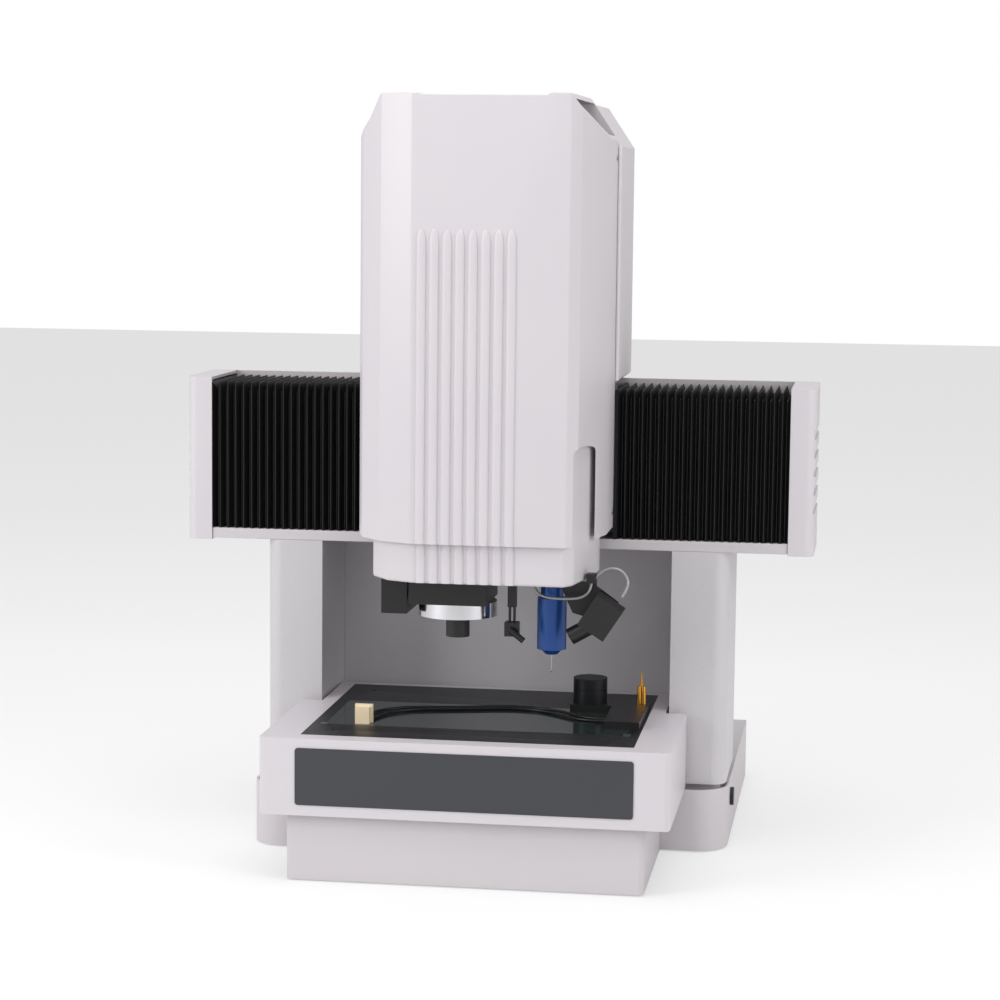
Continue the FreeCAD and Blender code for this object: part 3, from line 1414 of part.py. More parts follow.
barrelY = lampY - clampHalf - s.lampBarrelRadius - 0.4
lampPin = rod("LampPin", "Y", s.lampPinRadius, (s.lampX, barrelY, lampPivot),
              lampY + clampHalf - barrelY)
lampBarrel = rod("LampBarrel", "Z", s.lampBarrelRadius, (s.lampX, barrelY, lampPivot),
                 s.lampBarrelLength)


def tilt(piece, angle):
    """Turns a piece about Y by an angle bound to the sheet."""
    piece.Placement = FreeCAD.Placement(piece.Placement.Base, FreeCAD.Rotation(Vector(0, 1, 0), 30))
    piece.setExpression("Placement.Rotation.Angle", f"{asSize(angle).text} * 1 deg")


tilt(lampBarrel, s.lampDroop + 90)
keep(fuse("SpotLamp", lampPin, lampBarrel), "spot_lamp")

# touch probe
probeY = depth(s.probeDepth)
probeTop = headPlateFoot - s.probeNeckTall
probeFoot = probeTop - s.probeTall
noseFoot = probeFoot - s.noseTall
neck = rod("Neck", "Z", s.probeNeckRadius, (s.probeX, probeY, probeTop), s.probeNeckTall)
probeBarrel = rod("ProbeBarrel", "Z", s.probeRadius, (s.probeX, probeY, probeFoot), s.probeTall)
nose = cone("Nose", s.noseTip, s.noseRadius, (s.probeX, probeY, noseFoot), s.noseTall)
keep(fuse("TouchProbe", neck, probeBarrel, nose), "touch_probe")
stem = rod("Stem", "Z", s.stylusRadius, (s.probeX, probeY, noseFoot - s.stylusTall), s.stylusTall)
ball = doc.addObject("Part::Sphere", "StylusBall")
bind(ball, "Radius", s.stylusBall)
place(ball, s.probeX, probeY, noseFoot - s.stylusTall)
keep(fuse("Stylus", stem, ball), "stylus")

# camera that watches the stylus
cameraY = depth(s.cameraDepth)
cameraBack = cameraY + s.cameraDeep / 2
cameraHeight = headPlateFoot - s.cameraDrop


def camera():
    body = newBody("Camera")
    low = (-s.cameraWide / 2, -s.cameraLong / 2)
    high = (s.cameraWide / 2, s.cameraLong / 2)
    pad(body, "XZ", s.cameraDeep / 2, s.cameraDeep, rectangle(low, high))
    place(body, s.cameraX, cameraY, cameraHeight)
    tilt(body, s.cameraTilt)
    return body


lens = rod("Lens", "Z", s.lensRadius, (s.lensX, cameraY, headPlateFoot - s.lensDrop), s.lensLong)
tilt(lens, -(s.lensDroop + 90))
keep(fuse("StylusCamera", camera(), lens), "stylus_camera")


clipFoot = headPlateFoot - s.cableClipDrop
clipTop = clipFoot + s.cableClipSize
clipLeft = s.innerRight - s.cableClipSize / 2
clipRight = clipLeft + s.cableClipSize


def cameraBracket():
    """A plate behind the camera, hung from the head plate, with the cable clip's ear."""
    body = newBody("CameraBracket")
    stemLeft = s.probeX + s.probeNeckRadius
    stemFoot = clipFoot - s.bracketSlope
    plan = [
        (stemLeft, stemFoot),
        (s.cameraX - s.cameraWide, cameraHeight),
        (s.cameraX, cameraHeight - s.cameraLong / 4),
        (s.cameraX + s.cameraWide / 2, cameraHeight + s.cameraLong / 3),
        (clipRight, stemFoot + s.bracketThick),
        (clipRight, clipTop),
        (clipLeft, clipTop),
        (clipLeft, clipFoot),
        (s.plateNoseRight, clipFoot),
        (s.plateNoseRight, headPlateFoot),
        (stemLeft, headPlateFoot),
    ]
    pad(body, "XZ", cameraBack + s.bracketThick, s.bracketThick, plan)
    return body


cableClip = box("CableClip", (clipLeft, clipRight), (cameraBack - s.cableClipSize, cameraBack),
                (clipFoot, clipTop))
keep(fuse("BracketWithClip", cameraBracket(), cableClip), "camera_bracket")
cameraLead = [
    (190, 104, 370.7),
    (196.5, 104, 380.5),
    (198, 106, 393),
    (189, 109, 405),
    (172, 112, 407),
    (160, 114, 399),
    (clipRight.number, 115, 393),
]
probeLead = [
    (149, 114, clipFoot.number),
    (148, 111, 374),
    (136, 107, 366.5),
    (117, 106, 365.5),
    (97, 107, 365.5),
    (81, 110, 369),
    (74, 113, 380),
    (73, 114, headPlateFoot.number),
]
cableNode("HeadCables", "head_cables", s.headCableRadius, cameraLead, probeLead)

# ---- check and write -----------------------------------------------------------------------

doc.recompute()
for item in doc.Objects:
    if "Invalid" in item.State or "Error" in item.State:
        sys.exit(f"{item.Name} failed: {item.State}")
os.makedirs("parts", exist_ok=True)
for piece in nodes:
    if piece.Shape.isNull() or not piece.Shape.isValid():
        sys.exit(f"{piece.Label} has no valid shape")
    piece.Shape.exportStep(f"parts/{piece.Label}.step")
print(len(nodes), "nodes written")
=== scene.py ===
import json
import math

import bmesh
import bpy
from mathutils import Matrix, Quaternion, Vector

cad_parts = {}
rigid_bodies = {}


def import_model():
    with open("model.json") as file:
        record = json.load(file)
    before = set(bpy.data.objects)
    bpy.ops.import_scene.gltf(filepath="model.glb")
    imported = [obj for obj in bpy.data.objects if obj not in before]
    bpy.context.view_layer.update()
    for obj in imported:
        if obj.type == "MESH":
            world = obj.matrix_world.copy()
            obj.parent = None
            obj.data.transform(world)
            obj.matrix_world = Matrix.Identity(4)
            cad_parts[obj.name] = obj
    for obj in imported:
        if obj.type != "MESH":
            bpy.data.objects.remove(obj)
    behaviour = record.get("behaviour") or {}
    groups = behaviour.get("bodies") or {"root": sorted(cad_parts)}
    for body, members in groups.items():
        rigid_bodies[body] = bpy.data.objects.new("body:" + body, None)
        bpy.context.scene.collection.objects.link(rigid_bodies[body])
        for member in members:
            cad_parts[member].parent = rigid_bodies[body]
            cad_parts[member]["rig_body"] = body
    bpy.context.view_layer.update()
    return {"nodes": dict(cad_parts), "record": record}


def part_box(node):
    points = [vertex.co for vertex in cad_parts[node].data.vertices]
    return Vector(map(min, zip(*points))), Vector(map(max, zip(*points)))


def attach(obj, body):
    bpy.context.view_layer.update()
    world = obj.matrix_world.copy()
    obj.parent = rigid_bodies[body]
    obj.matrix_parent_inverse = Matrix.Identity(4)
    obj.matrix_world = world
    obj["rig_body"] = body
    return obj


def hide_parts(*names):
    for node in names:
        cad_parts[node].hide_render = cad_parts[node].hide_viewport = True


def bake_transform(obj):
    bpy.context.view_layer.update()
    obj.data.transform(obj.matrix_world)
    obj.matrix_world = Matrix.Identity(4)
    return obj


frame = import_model()

# Bench-top bridge measuring machine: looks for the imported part.
# Pieces are drawn in millimetres: x to the right, depth behind the table's front face, z up.
mm = 0.001
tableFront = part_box("table_cover")[0].y
toWorld = Matrix.Translation((0, tableFront, 0)) @ Matrix.Scale(mm, 4)
toDrawing = toWorld.inverted()


def drawn(node):
    # a node's lowest and highest corner on the drawing
    low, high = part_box(node)
    return toDrawing @ low, toDrawing @ high


# ---- camera

cameraSetup = {"place": (522, -3273, 896), "lens": 95.8, "yaw": 8.29, "pitch": 6.75, "roll": 0.6}


def addCamera():
    data = bpy.data.cameras.new("camera")
    data.lens = cameraSetup["lens"]
    data.sensor_width = 36
    data.clip_end = 50
    camera = bpy.data.objects.new("camera", data)
    bpy.context.scene.collection.objects.link(camera)
    bpy.context.scene.camera = camera
    camera.location = toWorld @ Vector(cameraSetup["place"])
    yaw, pitch, roll = (math.radians(cameraSetup[key]) for key in ("yaw", "pitch", "roll"))
    aim = Vector((-math.sin(yaw) * math.cos(pitch), math.cos(yaw) * math.cos(pitch), -math.sin(pitch)))
    turn = aim.to_track_quat("-Z", "Y") @ Quaternion((0, 0, 1), roll)
    camera.rotation_euler = turn.to_euler()


addCamera()

# ---- finishes


def linear(hexColour):
    # sRGB hex to linear colour
    parts = [int(hexColour[i:i + 2], 16) / 255 for i in (1, 3, 5)]
    return (*[c / 12.92 if c <= 0.04045 else ((c + 0.055) / 1.055) ** 2.4 for c in parts], 1)


def addNode(tree, kind, inputs=None, **settings):
    made = tree.nodes.new("ShaderNode" + kind)
    for name, value in settings.items():
        setattr(made, name, value)
    for key, value in (inputs or {}).items():
        if isinstance(value, bpy.types.NodeSocket):
            tree.links.new(value, made.inputs[key])
        else:
            made.inputs[key].default_value = value
    return made


def perMm(size):
    # a pattern's scale from its size in millimetres
    return 1000 / size


def newFinish(name):
    material = bpy.data.materials.new(name)
    material.use_nodes = True
    tree = material.node_tree
    return material, tree, tree.nodes["Principled BSDF"]


def grainedFinish(name, colour, shade, rough, patch, grain, relief, metal=0, stretch=(1, 1, 1), **sockets):
    # colour drifts to shade over patches; grain and relief are the size and height of the surface's texture
    material, tree, shader = newFinish(name)
    place = addNode(tree, "TexCoord").outputs["Object"]
    drift = addNode(tree, "TexNoise", {"Vector": place, "Scale": perMm(patch), "Detail": 2.0})
    mix = addNode(tree, "MixRGB", {"Fac": drift.outputs["Fac"], "Color1": linear(colour),
                                   "Color2": linear(shade)})
    tree.links.new(mix.outputs["Color"], shader.inputs["Base Color"])
    stretched = addNode(tree, "Mapping", {"Vector": place, "Scale": stretch})
    texture = addNode(tree, "TexNoise", {"Vector": stretched.outputs["Vector"], "Scale": perMm(grain),
                                         "Detail": 3.0})
    spread = addNode(tree, "MapRange", {"Value": texture.outputs["Fac"], "To Min": rough - 0.06,
                                        "To Max": rough + 0.06})
    tree.links.new(spread.outputs["Result"], shader.inputs["Roughness"])
    bump = addNode(tree, "Bump", {"Height": texture.outputs["Fac"], "Distance": relief * mm, "Strength": 1.0})
    tree.links.new(bump.outputs["Normal"], shader.inputs["Normal"])
    shader.inputs["Metallic"].default_value = metal
    for key, value in sockets.items():
        shader.inputs[key].default_value = value
    return material


paleGrey = "#d2cdd1"

# cast iron under textured enamel: pale grey with a hammered orange peel that breaks up highlights
texturedEnamel = grainedFinish("texturedEnamel", "#cbc8cb", "#c5c2c6", 0.34, 90, 2.2, 0.35)
# powder-coated sheet steel: an even satin with a fine peel
powderCoat = grainedFinish("powderCoat", "#cdc8cb", "#c9c4c7", 0.42, 120, 0.9, 0.03)
# moulded ABS: satin with a fine spark-eroded grain
mouldedAbs = grainedFinish("mouldedAbs", paleGrey, "#cec9ce", 0.38, 140, 0.5, 0.012)
# urethane-coated cloth: near black, with a dull sheen along its folds
coatedCloth = grainedFinish("coatedCloth", "#0b0b0c", "#101011", 0.5, 30, 0.4, 0.03)
# ground bearing steel: bright, with fine lines along its length
groundSteel = grainedFinish("groundSteel", "#a8aaad", "#9b9da0", 0.28, 40, 0.5, 0.004, metal=1)
# steel blackened in hot oxide: dark with a faint blue cast
blackenedSteel = grainedFinish("blackenedSteel", "#1b1c1f", "#232427", 0.42, 25, 0.6, 0.01, metal=0.6)
# anodised aluminium dyed black: satin, slightly warm
blackAnodised = grainedFinish("blackAnodised", "#0f0f11", "#151417", 0.42, 30, 0.4, 0.008)
# milled aluminium: pale grey metal with fine cutter lines
milledAluminium = grainedFinish("milledAluminium", "#b4b5b8", "#a6a7aa", 0.36, 50, 0.6, 0.01, metal=1)
# turned and polished stainless steel: nearly a mirror
polishedSteel = grainedFinish("polishedSteel", "#d9d9dc", "#cfcfd3", 0.14, 20, 0.4, 0.002, metal=1)
# anodised aluminium dyed blue: a deep metallic blue with a soft gloss
blueAnodised = grainedFinish("blueAnodised", "#234f96", "#1e4688", 0.3, 20, 0.4, 0.004, metal=0.35)
# float glass over a dark pit: a dark green-grey that mirrors at a flat angle
stageGlass = grainedFinish("floatGlass", "#26302f", "#2a3433", 0.08, 200, 60, 0, IOR=1.52)
# opal acrylic: white and evenly dull
opalAcrylic = grainedFinish("opalAcrylic", "#e8e8e4", "#e4e4e0", 0.5, 40, 0.8, 0.005)
# fired alumina: cream, fine grained, faintly glossy
firedCeramic = grainedFinish("firedCeramic", "#f3e3c4", "#efdcb8", 0.35, 8, 0.3, 0.004)
# gold-plated pin
goldPlate = grainedFinish("goldPlate", "#d9a44e", "#cf983f", 0.2, 6, 0.3, 0.002, metal=1)
# nitrile rubber: dull black
rubber = grainedFinish("rubber", "#1a1a1b", "#202021", 0.75, 20, 0.7, 0.03)
# flexible PVC: black with a soft gloss
flexPvc = grainedFinish("flexPvc", "#131314", "#18181a", 0.4, 15, 0.5, 0.01)
# braided tinned copper: pale grey metal strands
tinnedBraid = grainedFinish("tinnedBraid", "#b9b9bb", "#8d8d90", 0.38, 1.2, 0.7, 0.15, metal=0.5)
# printed polyester film: charcoal
printedFilm = grainedFinish("printedFilm", "#3a3b40", "#38393e", 0.4, 60, 0.4, 0.004)

slotFinish = {
    "cast_paint": texturedEnamel, "sheet_paint": powderCoat, "moulded_cover": mouldedAbs,
    "name_plate_film": printedFilm, "bellows_cloth": coatedCloth, "ground_steel": groundSteel,
    "blackened_steel": blackenedSteel, "black_anodised": blackAnodised,
    "machined_aluminium": milledAluminium, "ring_metal": polishedSteel, "probe_blue": blueAnodised,
    "stage_glass": stageGlass, "diffuser": opalAcrylic, "ceramic": firedCeramic, "pin_gold": goldPlate,
    "feet_rubber": rubber, "cable_jacket": flexPvc, "braid": tinnedBraid,
}
nodeSlot = {part["node"]: part["material_slot"] for part in frame["record"]["subparts"]}
for node, cadPiece in frame["nodes"].items():
    cadPiece.data.materials.clear()
    cadPiece.data.materials.append(slotFinish[nodeSlot[node]])
print("finishes:", len(slotFinish))

# ---- shapes in bmesh, in the drawing's millimetres


def block(low, high):
    made = bmesh.new()
    bmesh.ops.create_cube(made, size=1)
    low, high = Vector(low), Vector(high)
    made.transform(Matrix.Translation((low + high) / 2) @ Matrix.Diagonal((*(high - low), 1)))
    return made


def prism(points, along, low, high):
    # a polygon drawn in the two other axes, run from low to high along an axis
    made = bmesh.new()
    ends = []
    for level in (low, high):
        places = {
            "x": lambda u, v: (level, u, v),
            "y": lambda u, v: (u, level, v),
            "z": lambda u, v: (u, v, level),
        }
        ends.append([made.verts.new(places[along](u, v)) for u, v in points])
    made.faces.new(ends[0])
    made.faces.new(reversed(ends[1]))
    for i in range(len(points)):
        j = (i + 1) % len(points)
        made.faces.new((ends[0][i], ends[1][i], ends[1][j], ends[0][j]))
    return made


def meshOf(parts):
    # parts is a list of (shape, finish index)
    whole = bmesh.new()
    for shape, index in parts:
        for face in shape.faces:
            face.material_index = index
        scratch = bpy.data.meshes.new("scratch")
        shape.to_mesh(scratch)
        whole.from_mesh(scratch)
        bpy.data.meshes.remove(scratch)
        shape.free()
    bmesh.ops.recalc_face_normals(whole, faces=whole.faces[:])
    mesh = bpy.data.meshes.new("mesh")
    whole.to_mesh(mesh)
    whole.free()
    return mesh


def addPiece(name, mesh, body, finishes, replaces=(), crease=32):
    mesh.name = name
    piece = bpy.data.objects.new(name, mesh)
    bpy.context.scene.collection.objects.link(piece)
    for finish in finishes:
        mesh.materials.append(finish)
    mesh.shade_smooth()
    mesh.set_sharp_from_angle(angle=math.radians(crease))
    if body:
        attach(piece, body)
    if replaces:
        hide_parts(*replaces)
    return piece


def build(name, parts, body, finishes, replaces=(), crease=32):
    mesh = meshOf(parts)
    mesh.transform(toWorld)
    return addPiece(name, mesh, body, finishes, replaces, crease)


def useModifier(piece, kind, **settings):
    # adds a modifier and applies it
    modifier = piece.modifiers.new(kind.title(), kind)
    for key, value in settings.items():
        setattr(modifier, key, value)
    with bpy.context.temp_override(object=piece, active_object=piece):
        bpy.ops.object.modifier_apply(modifier=modifier.name)


def shapeObject(name, shape):
    # a scratch object for a boolean, in world metres
    mesh = meshOf([(shape, 0)])
    mesh.transform(toWorld)
    piece = bpy.data.objects.new(name, mesh)
    bpy.context.scene.collection.objects.link(piece)
    return piece


def carve(piece, operation, tool):
    useModifier(piece, "BOOLEAN", operation=operation, object=tool, solver="EXACT")
    bpy.data.objects.remove(tool)


def softened(name, node, large, isLarge, small=0.6):
    # the node's own form with rounded edges: large on the outer ones that isLarge picks, small elsewhere
    made = bmesh.new()
    made.from_mesh(frame["nodes"][node].data)
    bmesh.ops.remove_doubles(made, verts=made.verts[:], dist=1e-6)
    bmesh.ops.dissolve_limit(made, angle_limit=math.radians(0.5), verts=made.verts[:], edges=made.edges[:])
    weight = made.edges.layers.float.new("bevel_weight_edge")
    for edge in made.edges:
        if len(edge.link_faces) == 2 and edge.calc_face_angle(0) > math.radians(35):
            middle = toDrawing @ ((edge.verts[0].co + edge.verts[1].co) / 2)
            isOuter = edge.is_convex and isLarge(middle)
            edge[weight] = 1 if isOuter else small / max(large, small)
    mesh = bpy.data.meshes.new(name)
    made.to_mesh(mesh)
    made.free()
    body = frame["nodes"][node]["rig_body"]
    slot = nodeSlot[node]
    piece = addPiece(name, mesh, body, [slotFinish[slot]], [node])
    useModifier(piece, "BEVEL", limit_method="WEIGHT", width=max(large, small) * mm, segments=3,
                use_clamp_overlap=True, harden_normals=True)
    return piece


# ---- leads: their routes are the ones of the part's own tubes

def addLead(name, points, radius, body, slot, finish, **facts):
    curve = bpy.data.curves.new(name, "CURVE")
    curve.dimensions = "3D"
    curve.bevel_depth = radius * mm
    curve.bevel_resolution = 4
    curve.use_fill_caps = True
    spline = curve.splines.new("NURBS")
    spline.points.add(len(points) - 1)
    for point, place in zip(spline.points, points):
        point.co = (*(toWorld @ Vector(place)), 1)
    spline.order_u = 3
    spline.use_endpoint_u = True
    spline.resolution_u = 12
    curve.materials.append(finish)
    lead = bpy.data.objects.new(name, curve)
    bpy.context.scene.collection.objects.link(lead)
    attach(lead, body)
    return lead


tableLeadHeight = 192.2
frontLead = [
    (165, 176, tableLeadHeight), (142, 177, tableLeadHeight), (118, 190, tableLeadHeight),
    (92, 217, tableLeadHeight), (62, 237, tableLeadHeight), (22, 240, tableLeadHeight),
    (-20, 228, tableLeadHeight), (-60, 218, tableLeadHeight), (-96, 208, tableLeadHeight),
    (-124, 186, tableLeadHeight), (-138, 156, tableLeadHeight), (-145, 125, tableLeadHeight),
]
backLead = [
    (165, 190, tableLeadHeight), (143, 193, tableLeadHeight), (121, 207, tableLeadHeight),
    (98, 232, tableLeadHeight), (64, 251, tableLeadHeight), (22, 252, tableLeadHeight),
    (-22, 239, tableLeadHeight), (-62, 229, tableLeadHeight), (-104, 222, tableLeadHeight),
    (-136, 202, tableLeadHeight), (-154, 170, tableLeadHeight), (-157, 125, tableLeadHeight),
]
cameraLead = [
    (190, 104, 370.7), (196.5, 104, 380.5), (198, 106, 393), (189, 109, 405), (172, 112, 407),
    (160, 114, 399), (155, 115, 393),
]
probeLead = [
    (149, 114, 386), (148, 111, 374), (136, 107, 366.5), (117, 106, 365.5), (97, 107, 365.5),
    (81, 110, 369), (74, 113, 380), (73, 114, 392),
]
leadFront = addLead("lead_front", frontLead, 2, "table", "cable_jacket", flexPvc, length=0.3839,
                    stiffness="medium", lay="loose")
leadBack = addLead("lead_back", backLead, 2, "table", "cable_jacket", flexPvc, length=0.4091,
                   stiffness="medium", lay="loose")
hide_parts("table_cables")
leadCamera = addLead("lead_camera", cameraLead, 1.8, "ram", "braid", tinnedBraid, length=0.0775,
                     stiffness="limp", lay="loose")
leadProbe = addLead("lead_probe", probeLead, 1.8, "ram", "braid", tinnedBraid, length=0.1063,
                    stiffness="limp", lay="loose")
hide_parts("head_cables")
print("leads: 4")

# ---- fixed frame: base, columns, beam


def outerOf(node, reach=1.5):
    # picks edges on the outside of the node's box
    low, high = drawn(node)

    def test(point):
        sides = sum(point[i] < low[i] + reach or point[i] > high[i] - reach for i in range(3))
        return sides >= 2
    return test


softened("base_front_shell", "base_front_cover", 2.5, outerOf("base_front_cover"))
softened("base_left_shell", "base_side_cover_left", 2.5, outerOf("base_side_cover_left"))
softened("base_right_shell", "base_side_cover_right", 2.5, outerOf("base_side_cover_right"))
softened("base_rear_shell", "base_rear_cover", 2.5, outerOf("base_rear_cover"))
softened("base_bed", "base_casting", 1.5, outerOf("base_casting"))
softened("column_shell_left", "column_left", 1.5, outerOf("column_left"))
softened("column_shell_right", "column_right", 1.5, outerOf("column_right"))
softened("wall_panel", "rear_panel", 0.8, outerOf("rear_panel"))
softened("beam_rail", "beam_bottom_rail", 1.2, outerOf("beam_bottom_rail"))
softened("beam_back", "beam_rear_cover", 0.8, outerOf("beam_rear_cover"))
softened("beam_end_left", "end_cap_left", 6, outerOf("end_cap_left"), small=1)
softened("beam_end_right", "end_cap_right", 6, outerOf("end_cap_right"), small=1)
softened("table_shell", "table_cover", 5, outerOf("table_cover"), small=0.8)
softened("table_surround", "table_frame", 0.6, outerOf("table_frame"), small=0.4)
softened("head_back_shell", "head_rear_cover", 4, outerOf("head_rear_cover"), small=1)
print("frame pieces done")

# ---- bellows

# tip is the flat at each fold
bellowsSetup = {"pleats": 21, "depth": 12, "skin": 1.2, "tip": 0.9, "pivotHeight": 0.5}


def addBellows(side):
    node = "bellows_left" if side < 0 else "bellows_right"
    low, high = drawn(node)
    folds = 2 * bellowsSetup["pleats"]
    made = bmesh.new()
    start, end = (high.x, low.x) if side < 0 else (low.x, high.x)
    rings = []
    for fold in range(folds + 1):
        inset = bellowsSetup["depth"] * (fold % 2)
        x = start + (end - start) * fold / folds
        halfTip = 0 if fold in (0, folds) else side * bellowsSetup["tip"] / 2
        for shift in ((0,) if halfTip == 0 else (-halfTip, halfTip)):
            section = []
            for skin in (0, bellowsSetup["skin"]):
                d = inset + skin
                front, back = low.y + d, high.y - d
                arc = [(front, low.z), (front, high.z - d), (back, high.z - d), (back, low.z)]
                section += arc if skin == 0 else arc[::-1]
            rings.append([made.verts.new((x + shift, y, z)) for y, z in section])
    for ring, after in zip(rings, rings[1:]):
        for i in range(8):
            j = (i + 1) % 8
            made.faces.new((ring[i], ring[j], after[j], after[i]))
    made.faces.new(rings[0])
    made.faces.new(rings[-1][::-1])
    piece = build("pleats_left" if side < 0 else "pleats_right", [(made, 0)], None,
                  [coatedCloth], [node])
    front = tableFront + low.y * mm
    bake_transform(piece)


addBellows(-1)
addBellows(1)

# ---- head covers

headSetup = {
    "plan": [(-77.5, 40), (124, 40), (136, 59), (160, 185), (160, 266), (-158, 266), (-158, 120),
             (-150, 95), (-120, 59)],
    "foot": 440, "top": 1011, "wall": 4, "edge": 5, "roof": 7, "overcut": 5,
    "opening": (200, 950),  # the open back starts at this depth and ends at this height
    "front": [(-158, 440), (160, 440), (160, 956), (123, 1011), (98, 1011), (94, 1008), (-66, 1008),
              (-70, 1010), (-121, 1010), (-138, 980), (-158, 956)],
    "slot": (131, 150, 566),
    "ribs": {"first": -64.3, "pitch": 16.45, "count": 8, "width": 11.5, "proud": 3, "top": 840},
}


def rounded(piece, edge):
    # rounds every edge sharper than the limit
    useModifier(piece, "BEVEL", limit_method="ANGLE", angle_limit=math.radians(12), width=edge * mm,
                segments=4, use_clamp_overlap=True)


def headShell():
    # the plan and the front view, each run through the other, with rounded edges
    shell = shapeObject("head_shell", prism(headSetup["plan"], "z", headSetup["foot"], headSetup["top"]))
    carve(shell, "INTERSECT", shapeObject("front", prism(headSetup["front"], "y", 0, 400)))
    rounded(shell, headSetup["edge"])
    return shell


def insetPolygon(points, wall):
    # the polygon moved inwards by the wall
    count = len(points)
    area = sum(points[i][0] * points[(i + 1) % count][1] - points[(i + 1) % count][0] * points[i][1]
               for i in range(count))
    side = 1 if area > 0 else -1
    made = []
    for i in range(count):
        before, here, after = (Vector(points[(i + k) % count]) for k in (-1, 0, 1))
        first = (here - before).normalized()
        second = (after - here).normalized()
        inward = (Vector((-first.y, first.x)) + Vector((-second.y, second.x))) * side
        reach = wall / max(0.3, inward.length / 2) ** 2 / 2
        made.append(here + inward * reach)
    return [tuple(point) for point in made]


def ribShape(ribs, face, foot, top):
    # one row of upright half-round ridges that sink into the face at their upper ends
    made = bmesh.new()
    profile = [(-0.5, -0.2), (-0.5, 0.25), (-0.44, 0.6), (-0.3, 0.9), (-0.12, 1), (0.12, 1), (0.3, 0.9),
               (0.44, 0.6), (0.5, 0.25), (0.5, -0.2)]
    levels = [(foot, 1, 1), (top - 30, 1, 1), (top - 14, 0.97, 0.93), (top - 6, 0.8, 0.75),
              (top - 1.5, 0.5, 0.45), (top, 0.25, 0.1)]
    for index in range(ribs["count"]):
        middle = ribs["first"] + ribs["pitch"] * index
        rings = []
        for z, wide, proud in levels:
            ring = []
            for u, v in profile:
                out = v * ribs["proud"] * (proud if v > 0 else 1)
                ring.append(made.verts.new((middle + u * ribs["width"] * wide, face - out, z)))
            rings.append(ring)
        for lower, upper in zip(rings, rings[1:]):
            for i in range(len(profile)):
                j = (i + 1) % len(profile)
                made.faces.new((lower[i], lower[j], upper[j], upper[i]))
        made.faces.new(rings[0])
        made.faces.new(rings[-1][::-1])
    return made


def addHeadCover():
    plan = headSetup["plan"]
    foot, wall, over = headSetup["foot"], headSetup["wall"], headSetup["overcut"]
    leftSide, rightSide = min(x for x, y in plan), max(x for x, y in plan)
    openFrom, openTop = headSetup["opening"]
    openBack = max(y for x, y in plan) + wall
    shell = headShell()
    hollow = prism(insetPolygon(plan, wall), "z", foot - over, headSetup["top"] - headSetup["roof"])
    carve(shell, "DIFFERENCE", shapeObject("hollow", hollow))
    opening = block((leftSide + wall, openFrom, foot - over), (rightSide - wall, openBack, openTop))
    carve(shell, "DIFFERENCE", shapeObject("opening", opening))
    left, right, archTop = headSetup["slot"]
    radius = (right - left) / 2
    arch = [(left, foot - over), (right, foot - over)]
    arch += [((left + right) / 2 + radius * math.cos(t), archTop - radius + radius * math.sin(t))
             for t in (math.pi * i / 12 for i in range(13))]
    carve(shell, "DIFFERENCE", shapeObject("slot", prism(arch, "y", 30, 180)))
    mesh = shell.data
    bpy.data.objects.remove(shell)
    mesh.materials.clear()
    addPiece("head_shell", mesh, "carriage", [mouldedAbs], ["head_cover"])
    ribs = ribShape(headSetup["ribs"], plan[0][1], foot + 0.5, headSetup["ribs"]["top"])
    build("head_ribs", [(ribs, 0)], "carriage", [mouldedAbs], crease=60)


addHeadCover()

innerSetup = {
    "plan": [(-76, 50), (121, 50), (131, 66), (149, 170), (149, 213), (-136, 213), (-136, 100), (-112, 66)],
    "foot": 388, "top": 640, "wall": 3, "edge": 4, "overcut": 5,
}


def addInnerCover():
    plan = innerSetup["plan"]
    foot, top, over = innerSetup["foot"], innerSetup["top"], innerSetup["overcut"]
    shell = shapeObject("inner_shell", prism(plan, "z", foot, top))
    rounded(shell, innerSetup["edge"])
    hollow = prism(insetPolygon(plan, innerSetup["wall"]), "z", foot - over, top + over)
    carve(shell, "DIFFERENCE", shapeObject("hollow", hollow))
    mesh = shell.data
    bpy.data.objects.remove(shell)
    mesh.materials.clear()
    addPiece("inner_shell", mesh, "ram", [mouldedAbs], ["inner_cover"])
    ribs = ribShape(headSetup["ribs"], plan[0][1], foot + 1, top)
    build("inner_ribs", [(ribs, 0)], "ram", [mouldedAbs], crease=60)


addInnerCover()
print("head covers done")

# ---- light and surroundings: places in metres, power in watts

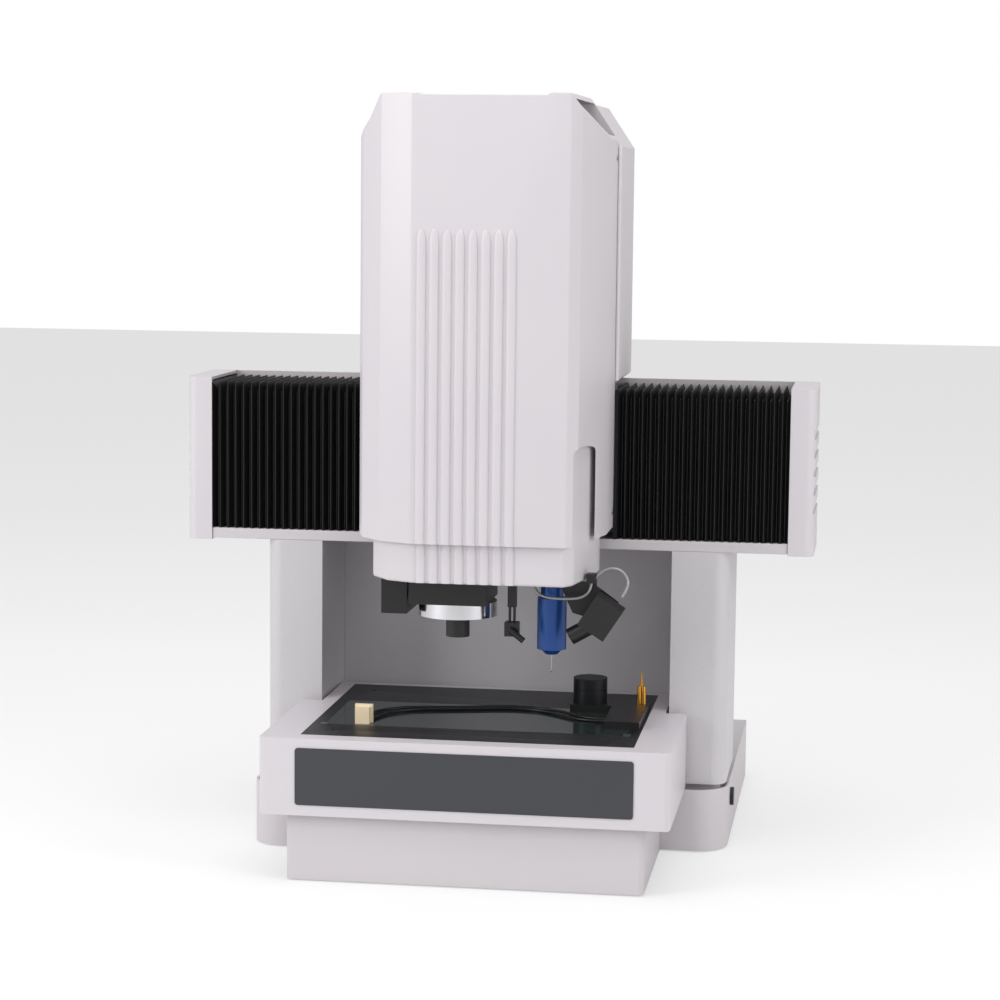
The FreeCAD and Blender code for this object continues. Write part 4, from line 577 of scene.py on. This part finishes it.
worldLight = 0.55
softboxes = {
    "softbox_left": {"place": (-2.6, -2.2, 1.6), "aim": (0, 0, 0.5), "size": (1.2, 1.8), "power": 45},
    "softbox_right": {"place": (3.0, -1.6, 1.5), "aim": (0, 0, 0.5), "size": (1.0, 1.8), "power": 30},
    "overhead": {"place": (0, -0.8, 3.2), "aim": (0, 0, 0.3), "size": (2.4, 2.0), "power": 45},
}


def addLight(name, place, aim, size, power):
    data = bpy.data.lights.new(name, "AREA")
    data.shape = "RECTANGLE"
    data.size, data.size_y = size
    data.energy = power
    light = bpy.data.objects.new(name, data)
    bpy.context.scene.collection.objects.link(light)
    light.location = place
    light.rotation_euler = (Vector(aim) - Vector(place)).to_track_quat("-Z", "Y").to_euler()


def addStudio():
    world = bpy.data.worlds.new("studio")
    bpy.context.scene.world = world
    world.use_nodes = True
    tree = world.node_tree
    ray = addNode(tree, "LightPath")
    rays = {0: ray.outputs["Is Camera Ray"], 1: ray.outputs["Is Transmission Ray"]}
    shows = addNode(tree, "Math", rays, operation="MAXIMUM")
    strength = addNode(tree, "MapRange", {"Value": shows.outputs["Value"], "To Min": worldLight, "To Max": 1.0})
    background = tree.nodes["Background"]
    background.inputs["Color"].default_value = (1, 1, 1, 1)
    tree.links.new(strength.outputs["Result"], background.inputs["Strength"])
    # the floor is matt white paper, with half of the camera's share glowing so that it stays pale
    material, tree, shader = newFinish("paper")
    shader.inputs["Base Color"].default_value = linear("#f4f4f4")
    shader.inputs["Roughness"].default_value = 0.9
    glow = addNode(tree, "Emission", {"Color": (1, 1, 1, 1), "Strength": 1.0})
    ray = addNode(tree, "LightPath")
    share = addNode(tree, "Math", {0: ray.outputs["Is Camera Ray"], 1: 0.5}, operation="MULTIPLY")
    mix = addNode(tree, "MixShader", {0: share.outputs["Value"], 1: shader.outputs[0], 2: glow.outputs[0]})
    tree.links.new(mix.outputs[0], tree.nodes["Material Output"].inputs["Surface"])
    made = bmesh.new()
    bmesh.ops.create_grid(made, x_segments=1, y_segments=1, size=12)
    mesh = bpy.data.meshes.new("floor")
    made.to_mesh(mesh)
    made.free()
    mesh.materials.append(material)
    floor = bpy.data.objects.new("floor", mesh)
    bpy.context.scene.collection.objects.link(floor)
    for name, setup in softboxes.items():
        addLight(name, **setup)


addStudio()
bpy.context.scene.view_settings.view_transform = "Standard"
